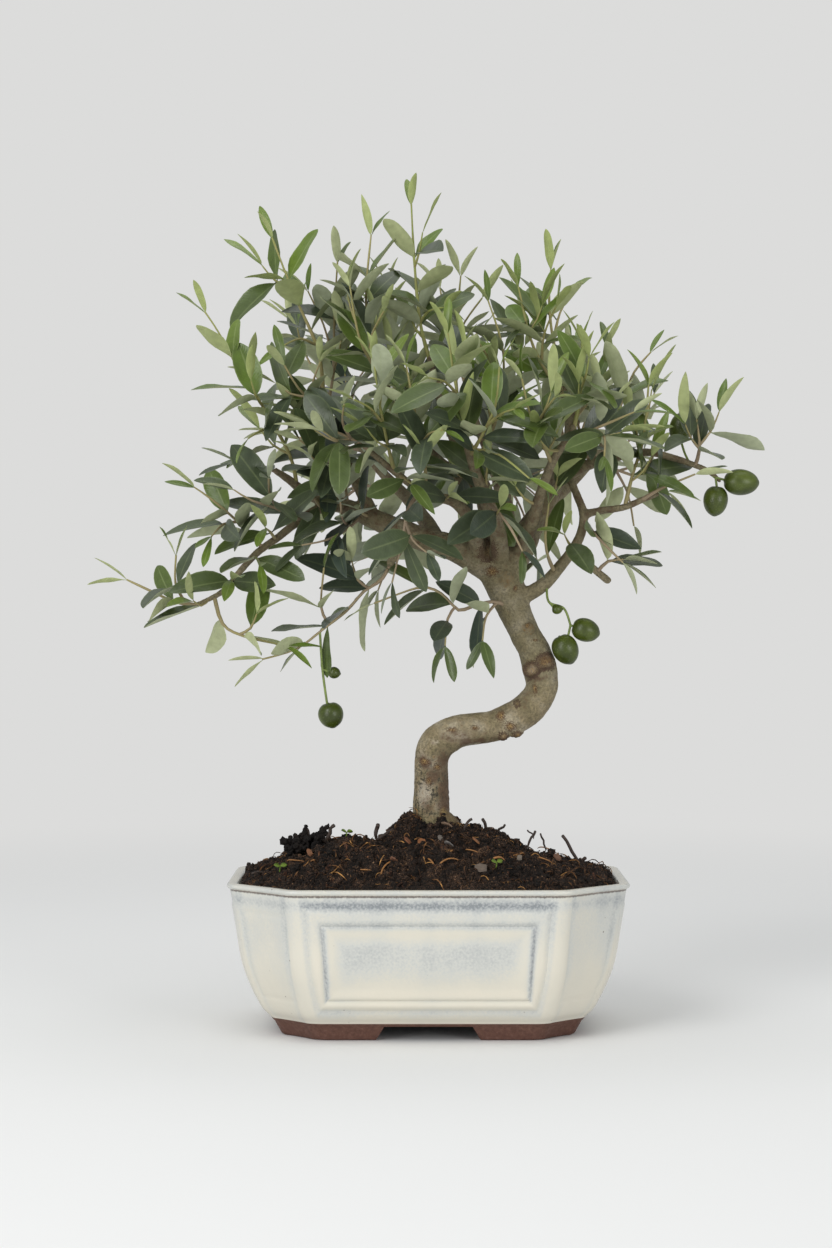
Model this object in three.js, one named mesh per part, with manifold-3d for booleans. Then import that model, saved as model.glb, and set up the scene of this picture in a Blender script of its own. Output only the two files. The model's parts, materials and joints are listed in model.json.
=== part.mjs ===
// An olive bonsai in a glazed stoneware pot: a curved trunk with its limbs, leafy shoots, a few
// green olives, potting soil and an eight-sided pot on four feet.
// Millimetres, +Z up, the front of the pot towards -Y.
import * as THREE from "three";
import { mergeVertices } from "three/addons/utils/BufferGeometryUtils.js";
import Module from "manifold-3d";

const wasm = await Module();
wasm.setup();

// ---------------------------------------------------------------- driving dimensions

const gap = 0.35; // clearance between pieces that touch on the real object

const pot = {
  halfLength: 117.75, // half of the rim's 235.5 mm length, along X
  halfDepth: 89, // half of the rim's 178 mm depth, along Y
  cornerCut: 37, // how far the 45 degree corners cut each side at the rim
  cornerSoftness: 3, // each vertical edge is blunted this far to both sides
  height: 90,
  wall: 6.5,
  floorUnder: 8.6, // underside of the floor
  floorTop: 17.5,
  // [height, how far the wall lies inside the rim's outline]
  outside: [
    [8.6, 26.6], [11.4, 24.3], [18.5, 18.7], [40, 10], [62, 6], [86, 1.8], [87.4, 0.5],
    [89.3, 0.1], [90, 1.3],
  ],
  inside: [[88.8, 6.6], [62, 12.5], [40, 16.5], [26.5, 21.2], [17.5, 27.2]],
};

const feet = {
  topInset: 27,
  bottomInset: 31.5,
  band: 15, // width of clay from the outer to the inner edge of a foot
  frontGap: 31, // half the opening between the two front feet, at the ground
  sideGap: 17, // half the opening between the two feet of a short side
  gapSlope: 3, // how much narrower each opening is at its top
};

// Raised frame on each of the four long faces of the pot, around a plain panel.
const moulding = {
  relief: 1.3,
  bottom: 18.5,
  top: 80,
  panelBottom: 25,
  panelTop: 69,
  margin: 2.5, // from the frame's outer edge to the vertical edge of the pot
  panelFront: [58, 60.5], // half widths of the front panel at its bottom and top
  panelSide: [27, 31.5],
};

const drain = { radius: 8, offset: 46, screenSize: 27, screenThickness: 0.9, meshHole: 3.4 };

const soil = {
  rimHeight: 86.5, // where the soil meets the pot's wall
  rise: 29, // height of the mound above that
  collar: 9, // extra heap round the trunk
  collarSpread: 24,
  trunkX: 2,
  spokes: 20,
  rings: [1, 0.82, 0.62, 0.42, 0.22],
};

// Leaves stand in opposite pairs along a shoot. Angles are in degrees, and each spread is how far a
// value may lie to both sides.
const leaf = {
  length: 34,
  lengthSpread: [0.84, 1.14], // shortest and longest, as shares of length
  widthShare: 0.37, // width as a share of the leaf's own length
  widthSpread: [0.86, 1.14],
  thickness: 1.3,
  tipPair: { length: 0.66, width: 0.8, opening: 20 }, // the small pair at a shoot's tip
  shrink: [1.04, 0.12], // share of the length at the shoot's foot, and what it loses up to the tip
  internode: 17, // from one pair to the next
  youngInternode: 1.5, // more on a young shoot
  bareStem: 0.16, // share of a shoot's length below its first pair, and the least length of that
  bareLeast: 7,
  opening: [56, 18], // angle from the shoot at its foot, and what it closes up to the tip
  openingSpread: 11,
  azimuthSpread: 22,
  rollSpread: 38,
  arch: [0.02, 0.18], // least and most bend, as a share of the length
  droop: 0.22, // pull of gravity on the oldest shoot's leaves
};

const olive = { sides: 7, bands: 4 };

const colours = {
  glaze: 0xe4e0d2,
  bark: 0x7d7463,
  soil: 0x2c1f18,
  oldLeaf: 0x3f5548,
  youngLeaf: 0x6c8a3f,
  fruit: 0x55762a,
  screen: 0x1f2a22,
};

// ---------------------------------------------------------------- wood

// The centre line of the trunk and of each limb, as [x, y, z, radius].
const limbs = {
  trunk: [
    [2, 0, 92, 13.5], [2, 0, 108, 12.8], [2, 0, 120, 11.6], [2, 0, 135, 10.6], [2, 0, 148, 10.2],
    [2, -1, 159, 10.3], [5, -2, 168, 10.8], [11, -3, 173, 10.4], [20, -4, 177, 9.9],
    [37, -4, 179, 9.4], [48, -4, 183, 9.8], [56, -4, 187, 10.2], [63, -3, 193, 9.9],
    [68, -2, 202, 9.6], [67, -1, 213, 10.2], [64, 0, 224, 9.6], [59, 0, 233, 9.1],
    [55, 0, 242, 9.3], [51, 0, 251, 10], [47, 0, 261, 11.5], [44, 0, 271, 13], [42, 0, 279, 11],
  ],
  left: [
    [46, 0, 262, 8.5], [36, -2, 274, 8.6], [25, -3, 281, 8.2], [13, -5, 287, 7.8],
    [-2, -7, 291, 7.3], [-17, -8, 297, 6.8], [-32, -8, 303, 6], [-47, -6, 310, 5],
    [-61, -8, 314, 4], [-73, -12, 319, 3.2], [-82, -16, 326, 2.6], [-91, -20, 332, 2.0],
  ],
  lower_left: [
    [-50, -6, 311, 3.6], [-65, -12, 309, 3.1], [-78, -17, 301, 2.7], [-89, -20, 292, 2.5],
    [-101, -23, 283, 2.3], [-111, -26, 272, 2.1], [-120, -28, 261, 1.9], [-130, -30, 255, 1.6],
    [-138, -32, 252, 1.3],
  ],
  centre_up: [
    [43, 4, 272, 9], [42, 8, 288, 8.2], [39, 12, 303, 7.2], [34, 14, 319, 6.2], [27, 14, 334, 5.2],
    [18, 12, 349, 4.2], [11, 8, 367, 3.3], [5, 2, 384, 2.6], [1, -4, 401, 2.0],
  ],
  right_up: [
    [48, 0, 272, 9], [55, 0, 285, 8.6], [61, 2, 297, 7.6], [69, 4, 310, 6.4], [77, 5, 326, 5.6],
    [84, 6, 342, 4.6], [86, 8, 361, 3.6], [83, 10, 379, 2.8], [80, 12, 397, 2.2],
  ],
  right_arm: [
    [77, 5, 326, 4.2], [91, 0, 334, 3.6], [106, -4, 339, 3.1], [121, -7, 342, 2.7],
    [132, -9, 343, 2.4], [145, -10, 340, 2.2], [157, -11, 336, 2.0], [168, -12, 331, 1.7],
    [174, -13, 325, 1.2],
  ],
  lower_right: [
    [52, 2, 255, 4.6], [61, -2, 259, 4.6], [70, -5, 265, 4.2], [78, -7, 274, 3.7],
    [85, -8, 283, 3.3], [91, -8, 294, 2.9], [93, -6, 306, 2.7], [89, -3, 318, 2.5],
    [85, 0, 328, 2.4],
  ],
  lower_right_stub: [
    [86, -8, 284, 2.8], [97, -9, 275, 2.5], [108, -10, 266, 2.3],
  ],
  right_low: [
    [93, -6, 306, 2.6], [102, -12, 308, 2.4], [116, -16, 310, 2.2], [126, -18, 314, 2.0],
    [136, -20, 318, 1.8],
  ],
  cut_stub: [
    [-11, -10, 293, 3.2], [-17, -15, 285, 2.8], [-23, -19, 276, 2.5],
  ],
  hanging_stub: [
    [-46, -2, 308, 2.2], [-47, 2, 297, 1.8], [-49, 4, 284, 1.6], [-50, 4, 274, 1.4],
  ],
  back: [
    [45, 10, 276, 8], [46, 24, 288, 6.8], [48, 42, 307, 5.6], [45, 58, 327, 4.6],
    [39, 70, 346, 3.6], [31, 78, 365, 2.8], [25, 84, 384, 2.2],
  ],
  back_left: [
    [7, 0, 288, 5.5], [0, 20, 301, 4.8], [-12, 42, 317, 4.0], [-27, 60, 333, 3.2],
    [-41, 74, 350, 2.6], [-54, 84, 369, 2.0],
  ],
  back_right: [
    [62, 8, 297, 5], [71, 28, 310, 4.4], [85, 48, 324, 3.8], [100, 64, 339, 3.0],
    [113, 76, 356, 2.4], [123, 84, 372, 1.8],
  ],
  front_left: [
    [30, -8, 282, 5], [26, -24, 299, 4.2], [16, -36, 312, 3.4], [-2, -44, 317, 2.6],
    [-19, -50, 329, 2.2], [-35, -54, 342, 1.8],
  ],
  front_up: [
    [43, -8, 279, 6], [41, -24, 296, 5], [35, -38, 311, 4.2], [29, -50, 325, 3.4],
    [24, -58, 339, 2.8], [20, -64, 353, 2.2],
  ],
  front_right: [
    [55, -6, 285, 5], [62, -22, 302, 4.2], [66, -36, 318, 3.2], [72, -48, 335, 2.6],
    [80, -56, 348, 2.1], [84, -60, 356, 1.8],
  ],
  left_up: [
    [-32, -8, 303, 4.5], [-39, -6, 318, 3.8], [-48, -2, 336, 3.2], [-55, 2, 354, 2.6],
    [-61, 6, 372, 2.1], [-65, 8, 388, 1.8],
  ],
  upper_left_arm: [
    [34, 14, 319, 4.5], [21, 14, 328, 4.2], [6, 14, 339, 3.8], [-8, 12, 353, 3.2],
    [-19, 10, 370, 2.7], [-26, 6, 387, 2.2], [-31, 2, 405, 1.8],
  ],
};

// Each spray is one leafy shoot with its side shoots. path runs from inside the limb that bears it
// to its tip. young is 0 for an old dark shoot and 1 for this year's bright one. sides holds, for
// each side shoot, how far along the path it leaves and where its tip is.
const sprays = {
  left_tall: {
    young: 0.8,
    path: [[-78, -14, 323], [-82, -22, 341], [-98, -30, 370], [-112, -34, 392], [-123, -36, 412],
      [-131, -36, 424]],
    sides: [[0.3, [-105, -46, 349]]],
  },
  left_stub: {
    young: 0.1,
    path: [[-88, -19, 330], [-98, -26, 334], [-113, -32, 336]],
    sides: [],
  },
  upper_left: {
    young: 0.7,
    path: [[-63, 7, 379], [-66, 4, 405], [-78, -4, 433], [-85, -8, 450], [-93, -10, 471]],
    sides: [[0.3, [-85, -28, 405]]],
  },
  upper_left_front: {
    young: 0.3,
    path: [[-55, 2, 354], [-65, -18, 369], [-76, -34, 379], [-84, -42, 392]],
    sides: [[0.5, [-63, -42, 394]]],
  },
  upper_left_inner: {
    young: 0.4,
    path: [[-61, 5, 369], [-57, 18, 395], [-57, 24, 426], [-55, 26, 461]],
    sides: [[0.35, [-73, 24, 443]]],
  },
  left_back_high: {
    young: 0.4,
    path: [[-52, 83, 366], [-65, 92, 388], [-79, 96, 414], [-88, 96, 434]],
    sides: [[0.4, [-62, 114, 423]]],
  },
  left_back_low: {
    young: 0.2,
    path: [[-39, 72, 348], [-59, 95, 354], [-82, 110, 359], [-100, 114, 363]],
    sides: [[0.4, [-76, 120, 385]]],
  },
  left_back_mid: {
    young: 0.1,
    path: [[-22, 55, 328], [-43, 82, 326], [-66, 104, 323], [-86, 116, 319]],
    sides: [[0.4, [-70, 102, 298]]],
  },
  top_leader: {
    young: 0.9,
    path: [[1, -3, 398], [-5, -8, 422], [-8, -10, 454], [-9, -10, 470], [-10, -8, 491]],
    sides: [[0.25, [9, -30, 427]]],
  },
  top_left: {
    young: 0.6,
    path: [[-24, 8, 382], [-33, -14, 395], [-41, -28, 411], [-46, -36, 439]],
    sides: [[0.35, [-34, -6, 473]], [0.4, [-26, -46, 423]]],
  },
  top_mid: {
    young: 0.6,
    path: [[6, 3, 380], [13, 14, 400], [17, 20, 422], [20, 22, 452]],
    sides: [[0.4, [33, 28, 439]]],
  },
  top_back: {
    young: 0.5,
    path: [[27, 83, 381], [20, 90, 404], [13, 94, 427], [8, 94, 453]],
    sides: [[0.35, [35, 112, 428]]],
  },
  top_back_left: {
    young: 0.5,
    path: [[-17, 11, 366], [-16, 34, 390], [-19, 48, 413], [-24, 54, 449]],
    sides: [[0.4, [-3, 68, 431]]],
  },
  top_back_right: {
    young: 0.4,
    path: [[33, 77, 362], [47, 92, 385], [56, 98, 408], [60, 100, 436]],
    sides: [[0.15, [5, 116, 391]]],
  },
  shoulder_top: {
    young: 0.7,
    path: [[80, 12, 394], [75, 10, 415], [73, 8, 436], [74, 8, 454]],
    sides: [[0.3, [89, 24, 444]]],
  },
  shoulder_front: {
    young: 0.7,
    path: [[83, 10, 377], [70, -8, 392], [61, -18, 409], [53, -26, 440]],
    sides: [[0.4, [75, -32, 427]]],
  },
  shoulder_right: {
    young: 0.4,
    path: [[86, 8, 361], [97, 20, 376], [105, 26, 394], [109, 28, 410]],
    sides: [],
  },
  shoulder_inner: {
    young: 0.6,
    path: [[25, 14, 336], [36, -4, 351], [43, -18, 374], [44, -28, 402], [35, -34, 431]],
    sides: [[0.5, [27, -46, 408]]],
  },
  shoulder_back: {
    young: 0.4,
    path: [[83, 8, 341], [81, 36, 365], [75, 58, 392], [69, 70, 430]],
    sides: [[0.45, [95, 82, 415]]],
  },
  right_high: {
    young: 0.4,
    path: [[107, -4, 339], [110, -6, 357], [116, -8, 374], [123, -8, 391], [133, -6, 403]],
    sides: [[0.35, [101, -22, 383]]],
  },
  right_tall: {
    young: 0.7,
    path: [[117, -16, 311], [121, -20, 329], [127, -24, 350], [130, -26, 382]],
    sides: [[0.45, [116, -42, 364]]],
  },
  right_low: {
    young: 0.3,
    path: [[126, -18, 314], [138, -26, 321], [157, -30, 329]],
    sides: [],
  },
  right_end: {
    young: 0.3,
    path: [[159, -11, 335], [161, -18, 345], [159, -20, 362]],
    sides: [],
  },
  right_back: {
    young: 0.2,
    path: [[102, 65, 342], [119, 80, 337], [138, 92, 331], [153, 96, 324]],
    sides: [[0.15, [144, 92, 386]], [0.4, [139, 112, 351]], [0.35, [131, 92, 302]]],
  },
  low_right: {
    young: 0.1,
    path: [[93, -7, 303], [98, -18, 295], [106, -24, 286], [115, -26, 277]],
    sides: [],
  },
  low_right_tip: {
    young: 0.2,
    path: [[101, -10, 272], [107, -14, 278], [116, -18, 279]],
    sides: [],
  },
  low_mid_right: {
    young: 0.5,
    path: [[76, -7, 271], [71, -18, 281], [69, -28, 293], [71, -32, 312]],
    sides: [],
  },
  front_centre: {
    young: 0.8,
    path: [[20, -63, 351], [17, -72, 370], [14, -78, 386], [11, -80, 407]],
    sides: [[0.4, [0, -98, 380]]],
  },
  front_centre_right: {
    young: 0.8,
    path: [[24, -58, 338], [32, -74, 352], [38, -84, 366], [40, -88, 387]],
    sides: [[0.4, [48, -104, 362]], [0.1, [57, -88, 324]]],
  },
  front_right_high: {
    young: 0.9,
    path: [[84, -59, 354], [87, -64, 370], [88, -68, 384], [88, -68, 403]],
    sides: [],
  },
  front_right_mid: {
    young: 0.6,
    path: [[72, -47, 334], [65, -64, 347], [58, -76, 361], [53, -82, 381]],
    sides: [[0.4, [71, -98, 369]]],
  },
  front_right_low: {
    young: 0.4,
    path: [[78, -54, 344], [93, -68, 352], [105, -76, 357], [117, -80, 362]],
    sides: [[0.5, [99, -96, 336]]],
  },
  front_left_low: {
    young: 0.3,
    path: [[-32, -53, 340], [-43, -60, 347], [-54, -64, 352], [-68, -66, 354]],
    sides: [[0.4, [-48, -86, 366]]],
  },
  front_left_high: {
    young: 0.8,
    path: [[-20, -50, 330], [-24, -62, 347], [-28, -72, 367], [-31, -76, 390]],
    sides: [[0.45, [-42, -94, 368]]],
  },
  front_mid: {
    young: 0.6,
    path: [[-2, -44, 317], [-2, -58, 333], [-6, -70, 353], [-13, -78, 390]],
    sides: [[0.4, [8, -94, 351]]],
  },
  front_hanging: {
    young: 0,
    path: [[-5, -45, 318], [-12, -56, 307], [-15, -62, 290], [-21, -64, 265]],
    sides: [[0.4, [-1, -82, 282]]],
  },
  front_crotch: {
    young: 0,
    path: [[34, -40, 313], [42, -56, 304], [48, -64, 295], [54, -66, 283]],
    sides: [],
  },
  lower_left_tip: {
    young: 0.5,
    path: [[-136, -32, 252], [-149, -34, 254], [-160, -36, 259], [-177, -36, 267]],
    sides: [[0.15, [-147, -46, 281]]],
  },
  lower_left_hanging: {
    young: 0.6,
    path: [[-126, -29, 257], [-121, -30, 241], [-109, -32, 234], [-83, -36, 228]],
    sides: [[0.5, [-100, -46, 247]]],
  },
  left_low_outer: {
    young: 0.4,
    path: [[-98, -22, 286], [-112, -30, 301], [-127, -36, 314], [-137, -38, 321]],
    sides: [[0.4, [-126, -50, 292]]],
  },
  left_low_inner: {
    young: 0.1,
    path: [[-76, -17, 302], [-90, -36, 309], [-103, -46, 313], [-113, -50, 319]],
    sides: [[0.4, [-92, -64, 325]]],
  },
  left_front: {
    young: 0.2,
    path: [[-62, -8, 314], [-58, -28, 327], [-62, -44, 338], [-75, -52, 348]],
    sides: [[0.5, [-48, -70, 342]]],
  },
  left_under: {
    young: 0,
    path: [[-39, -7, 306], [-49, -25, 296], [-60, -38, 290], [-74, -44, 287]],
    sides: [[0.3, [-51, -54, 312]]],
  },
  drooping: {
    young: 0.3,
    path: [[-12, -9, 294], [-19, -14, 284], [-27, -18, 268], [-38, -20, 260], [-49, -22, 248],
      [-63, -24, 237], [-78, -26, 226], [-98, -28, 220]],
    sides: [[0.62, [-61, -40, 274]], [0.35, [-45, -34, 278]]],
  },
  trunk_twig: {
    young: 0.3,
    path: [[50, -4, 251], [38, -12, 254], [26, -16, 251], [18, -18, 249], [11, -20, 256],
      [4, -20, 261], [-7, -20, 262], [-32, -24, 253]],
    sides: [[0.42, [10, -26, 228]], [0.12, [32, -30, 231]]],
  },
  back_low: {
    young: 0.1,
    path: [[-11, 41, 315], [-16, 60, 299], [-24, 70, 280], [-31, 74, 261]],
    sides: [[0.4, [-44, 90, 280]]],
  },
  back_left: {
    young: 0.1,
    path: [[40, 68, 343], [27, 95, 344], [10, 114, 339]],
    sides: [[0.4, [26, 114, 318]]],
  },
  back_right: {
    young: 0.1,
    path: [[45, 57, 325], [58, 85, 331], [76, 107, 339]],
    sides: [[0.4, [73, 106, 318]], [0.2, [69, 80, 280]]],
  },
  back_left_high: {
    young: 0.3,
    path: [[-41, 74, 350], [-48, 90, 375], [-52, 98, 401], [-50, 100, 432]],
    sides: [[0.4, [-33, 116, 411]]],
  },
  back_right_high: {
    young: 0.3,
    path: [[101, 65, 341], [96, 85, 362], [92, 96, 385], [90, 98, 414]],
    sides: [[0.4, [111, 108, 397]]],
  },
};

// ---------------------------------------------------------------- fruit

// Each bunch is one forked stalk, as lists of [x, y, z], with the olives that it bears.
// An olive has its centre, the direction of its long axis, and its length and width.
const bunches = {
  right_end: {
    stalks: [
      [[167, -12, 331], [171, -13, 328], [178, -14, 326]],
      [[171, -13, 328], [172, -13, 320]],
    ],
    olives: [
      { centre: [186, -14, 325], axis: [1, 0, -0.05], length: 21, width: 15.6 },
      { centre: [171, -13, 314], axis: [0.1, 0, 1], length: 18, width: 14.6 },
    ],
  },
  right_arm: {
    stalks: [[[155, -11, 338], [153, -8, 343], [151, -4, 351]]],
    olives: [{ centre: [151, -4, 358], axis: [0.1, 0, 1], length: 18, width: 13.4 }],
  },
  lower_right: {
    stalks: [
      [[71, -6, 265], [72, -9, 254], [81, -9, 250], [85, -9, 240]],
      [[85, -9, 240], [90, -9, 238]],
      [[85, -9, 240], [83, -9, 231]],
      [[72, -9, 254], [75, -9, 250.5]],
    ],
    olives: [
      { centre: [94, -9, 237], axis: [0.94, 0, -0.3], length: 17, width: 14 },
      { centre: [82, -9, 225.5], axis: [0.42, 0, -0.9], length: 18.4, width: 15.6 },
      { centre: [77, -9, 249.5], axis: [1, 0, 0], length: 6.4, width: 6, sides: 5, bands: 3 },
    ],
  },
  lower_left: {
    stalks: [
      [[-64, -24, 236], [-62.5, -24, 214], [-59.5, -24, 192]],
      [[-62.5, -24, 214], [-57, -24, 212]],
    ],
    olives: [
      { centre: [-57.5, -24, 187], axis: [0.2, 0, -1], length: 15.2, width: 15 },
      { centre: [-55.5, -24, 212], axis: [1, 0, -0.2], length: 7.2, width: 7, sides: 5, bands: 3 },
    ],
  },
};

// ---------------------------------------------------------------- solids from points and faces

const vec = (x, y, z) => new THREE.Vector3(x, y, z);
const up = vec(0, 0, 1);

function solidOf(points, faces) {
  const vertProperties = new Float32Array(points.flatMap((p) => [p.x, p.y, p.z]));
  const triVerts = new Uint32Array(faces.flat());
  return new wasm.Manifold(new wasm.Mesh({ numProp: 3, vertProperties, triVerts }));
}

function solidOfGeometry(geometry) {
  geometry.deleteAttribute("normal");
  geometry.deleteAttribute("uv");
  const merged = mergeVertices(geometry, 1e-4);
  const vertProperties = merged.getAttribute("position").array;
  const triVerts = new Uint32Array(merged.index.array);
  return new wasm.Manifold(new wasm.Mesh({ numProp: 3, vertProperties, triVerts }));
}

function geometryOf(solid) {
  const mesh = solid.getMesh();
  const geometry = new THREE.BufferGeometry();
  geometry.setAttribute("position", new THREE.BufferAttribute(mesh.vertProperties, 3));
  geometry.setIndex(new THREE.BufferAttribute(mesh.triVerts, 1));
  geometry.computeVertexNormals();
  return geometry;
}

const joined = (solids) => wasm.Manifold.union(solids);

// What is left in one piece after a cut: the largest body.
function mainBody(solid) {
  const bodies = solid.decompose();
  return bodies.reduce((best, body) => (body.volume() > best.volume() ? body : best));
}

// A closed solid through rings of points that run counter-clockwise about the way ahead.
// A ring of one point closes the solid in a tip.
function loft(rings) {
  const points = rings.flat();
  const faces = [];
  let start = 0;
  for (let i = 0; i + 1 < rings.length; i++) {
    const here = rings[i].length;
    const next = rings[i + 1].length;
    const ahead = start + here;
    for (let k = 0; k < Math.max(here, next); k++) {
      const a = start + (here > 1 ? k : 0);
      const b = start + (here > 1 ? (k + 1) % here : 0);
      const c = ahead + (next > 1 ? (k + 1) % next : 0);
      const d = ahead + (next > 1 ? k : 0);
      if (here > 1) faces.push([a, b, c]);
      if (next > 1) faces.push([a, c, d]);
    }
    start = ahead;
  }
  for (let k = 2; k < rings[0].length; k++) faces.push([0, k, k - 1]);
  const last = rings[rings.length - 1];
  for (let k = 2; k < last.length; k++) faces.push([start, start + k - 1, start + k]);
  return solidOf(points, faces);
}

// Rings of a round section along a line of centres.
function ringsAlong(centres, radii, sides) {
  let across = null;
  return centres.map((centre, i) => {
    const before = centres[Math.max(i - 1, 0)];
    const after = centres[Math.min(i + 1, centres.length - 1)];
    const ahead = after.clone().sub(before).normalize();
    if (!across) across = Math.abs(ahead.x) < 0.9 ? vec(1, 0, 0) : vec(0, 1, 0);
    across = across.clone().addScaledVector(ahead, -across.dot(ahead)).normalize();
    const over = ahead.clone().cross(across);
    return Array.from({ length: sides }, (_, k) => {
      const angle = (2 * Math.PI * k) / sides;
      return centre
        .clone()
        .addScaledVector(across, radii[i] * Math.cos(angle))
        .addScaledVector(over, radii[i] * Math.sin(angle));
    });
  });
}

const tube = (centres, radii, sides) => loft(ringsAlong(centres, radii, sides));

// An egg-shaped solid of revolution about its axis.
function ellipsoid({ centre, axis, length, width, sides = olive.sides, bands = olive.bands }) {
  const middle = vec(...centre);
  const along = vec(...axis).normalize();
  const heights = Array.from({ length: bands }, (_, i) => -Math.cos((Math.PI * (i + 1)) / (bands + 1)));
  const centres = heights.map((h) => middle.clone().addScaledVector(along, (h * length) / 2));
  const radii = heights.map((h) => (Math.sqrt(1 - h * h) * width) / 2);
  const ends = [-1, 1].map((h) => [middle.clone().addScaledVector(along, (h * length) / 2)]);
  return loft([ends[0], ...ringsAlong(centres, radii, sides), ends[1]]);
}

// Numbers from 0 to 1 that come in the same order each time.
function seeded(seed) {
  let state = seed;
  return () => {
    state = (state * 1664525 + 1013904223) % 4294967296;
    return state / 4294967296;
  };
}

// ---------------------------------------------------------------- pot

// Value at height z of a profile of [height, value] pairs.
function atHeight(profile, z) {
  const i = Math.max(1, profile.findIndex(([height]) => height >= z));
  const [z0, v0] = profile[i - 1];
  const [z1, v1] = profile[i];
  return v0 + ((v1 - v0) * (z - z0)) / (z1 - z0);
}

// The pot's eight-sided outline, set in by inset: half its length and depth, and its corner cut.
function outline(inset) {
  const cutLoss = 0.52; // the corner cuts shrink this much for each millimetre of inset
  return {
    x: pot.halfLength - inset,
    y: pot.halfDepth - inset,
    cut: pot.cornerCut + 1 - cutLoss * inset,
  };
}

function potRing(z, inset) {
  const { x, y, cut } = outline(inset);
  const quarter = [[x, y - cut], [x - cut, y]];
  const corners = [
    [x, cut - y],
    ...quarter,
    ...quarter.map(([px, py]) => [-px, py]).reverse(),
    ...quarter.map(([px, py]) => [-px, -py]),
    [x - cut, -y],
  ].map(([px, py]) => vec(px, py, z));
  return corners.flatMap((corner, i) => {
    const before = corners[(i + corners.length - 1) % corners.length];
    const after = corners[(i + 1) % corners.length];
    return [before, after].map((other) => {
      const towards = other.clone().sub(corner).normalize();
      return corner.clone().addScaledVector(towards, pot.cornerSoftness);
    });
  });
}

// A prism of an outline in the X-Z plane, with any holes, from y0 to y1.
function slab(outside, holes, y0, y1) {
  const shape = new THREE.Shape(outside.map(([x, z]) => new THREE.Vector2(x, z)));
  for (const hole of holes) {
    shape.holes.push(new THREE.Path(hole.map(([x, z]) => new THREE.Vector2(x, z))));
  }
  const geometry = new THREE.ExtrudeGeometry(shape, { depth: y1 - y0, bevelEnabled: false });
  geometry.rotateX(Math.PI / 2).translate(0, y1, 0);
  return solidOfGeometry(geometry);
}

const trapezium = (bottomHalf, topHalf, z0, z1) => [
  [-bottomHalf, z0], [bottomHalf, z0], [topHalf, z1], [-topHalf, z1],
];

const quarterTurn = (solid) => solid.rotate([0, 0, 90]);

// The raised frames on the four long faces: a slightly fatter pot, kept only inside frame outlines.
function mouldings() {
  const fat = loft(pot.outside.slice(0, -2).map(([z, inset]) => potRing(z, inset - moulding.relief)));
  const frame = (halfOf, panel) => {
    const edge = (z) => {
      const { [halfOf]: half, cut } = outline(atHeight(pot.outside, z));
      return half - cut - moulding.margin;
    };
    const outside = trapezium(edge(moulding.bottom), edge(moulding.top), moulding.bottom, moulding.top);
    const hole = trapezium(panel[0], panel[1], moulding.panelBottom, moulding.panelTop);
    return slab(outside, [hole], -2 * pot.halfLength, 2 * pot.halfLength);
  };
  const reach = pot.wall; // how deep a frame is rooted in the wall
  const deep = loft(pot.outside.slice(0, -2).map(([z, inset]) => potRing(z, inset + reach / 2)));
  const shell = fat.subtract(deep);
  return [
    shell.intersect(frame("x", moulding.panelFront)),
    shell.intersect(quarterTurn(frame("y", moulding.panelSide))),
  ];
}

// Four feet: a band under the edge of the floor, with an opening in the middle of each side.
function potFeet() {
  const top = pot.floorUnder + 1.5; // sunk into the floor
  const rise = (feet.bottomInset - feet.topInset) / pot.floorUnder;
  const insetAt = (z) => feet.bottomInset - rise * z;
  const band = loft([0, top].map((z) => potRing(z, insetAt(z)))).subtract(
    loft([-1, pot.floorUnder].map((z) => potRing(z, insetAt(z) + feet.band))),
  );
  const opening = (half) =>
    slab(
      trapezium(half, half - feet.gapSlope, -1, pot.floorUnder),
      [],
      -pot.halfLength,
      pot.halfLength,
    );
  return band.subtract(opening(feet.frontGap)).subtract(quarterTurn(opening(feet.sideGap)));
}

const drainCentres = [-drain.offset, drain.offset];

function potSolid() {
  const body = loft(pot.outside.map(([z, inset]) => potRing(z, inset)));
  const above = [pot.height + 3, pot.inside[0][1] - 2.2];
  const hollow = loft([...pot.inside.toReversed(), above].map(([z, inset]) => potRing(z, inset)));
  const drains = drainCentres.map((x) => {
    const bore = new THREE.CylinderGeometry(drain.radius, drain.radius, pot.floorTop, 12);
    return solidOfGeometry(bore.rotateX(Math.PI / 2).translate(x, 0, pot.floorTop / 2 + 2));
  });
  return joined([body, potFeet(), ...mouldings()]).subtract(hollow).subtract(joined(drains));
}

// A square of plastic mesh that lies on the floor over a drain hole.
function drainScreen(x) {
  const { screenSize, screenThickness, meshHole } = drain;
  const block = (size, height, px, py) =>
    solidOfGeometry(new THREE.BoxGeometry(size, size, height).translate(x + px, py, 0));
  const pitch = screenSize / 4;
  const steps = [-pitch / 2, pitch / 2];
  const holes = steps.flatMap((px) => steps.map((py) => block(meshHole, 3 * screenThickness, px, py)));
  const sheet = block(screenSize, screenThickness, 0, 0).subtract(joined(holes));
  return sheet.translate([0, 0, pot.floorTop + gap + screenThickness / 2]);
}

// ---------------------------------------------------------------- trunk and limbs

const sidesOf = (line) => (line[0][3] > 9.5 ? 9 : line[0][3] > 5 ? 6 : line[0][3] > 3 ? 5 : 4);

// Lumps that stand out of the bark: old pruning scars and knots, as [x, y, z, radius].
const knots = [
  [59, -7, 219, 5.6], [70, -7, 212, 6.2], [68, 4, 216, 6], [60, -8, 238, 3.6],
  [56, -11, 186, 3.8], [4, -9, 160, 3.4], [46, -9, 268, 5.2], [34, -6, 288, 5.6],
];

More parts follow.
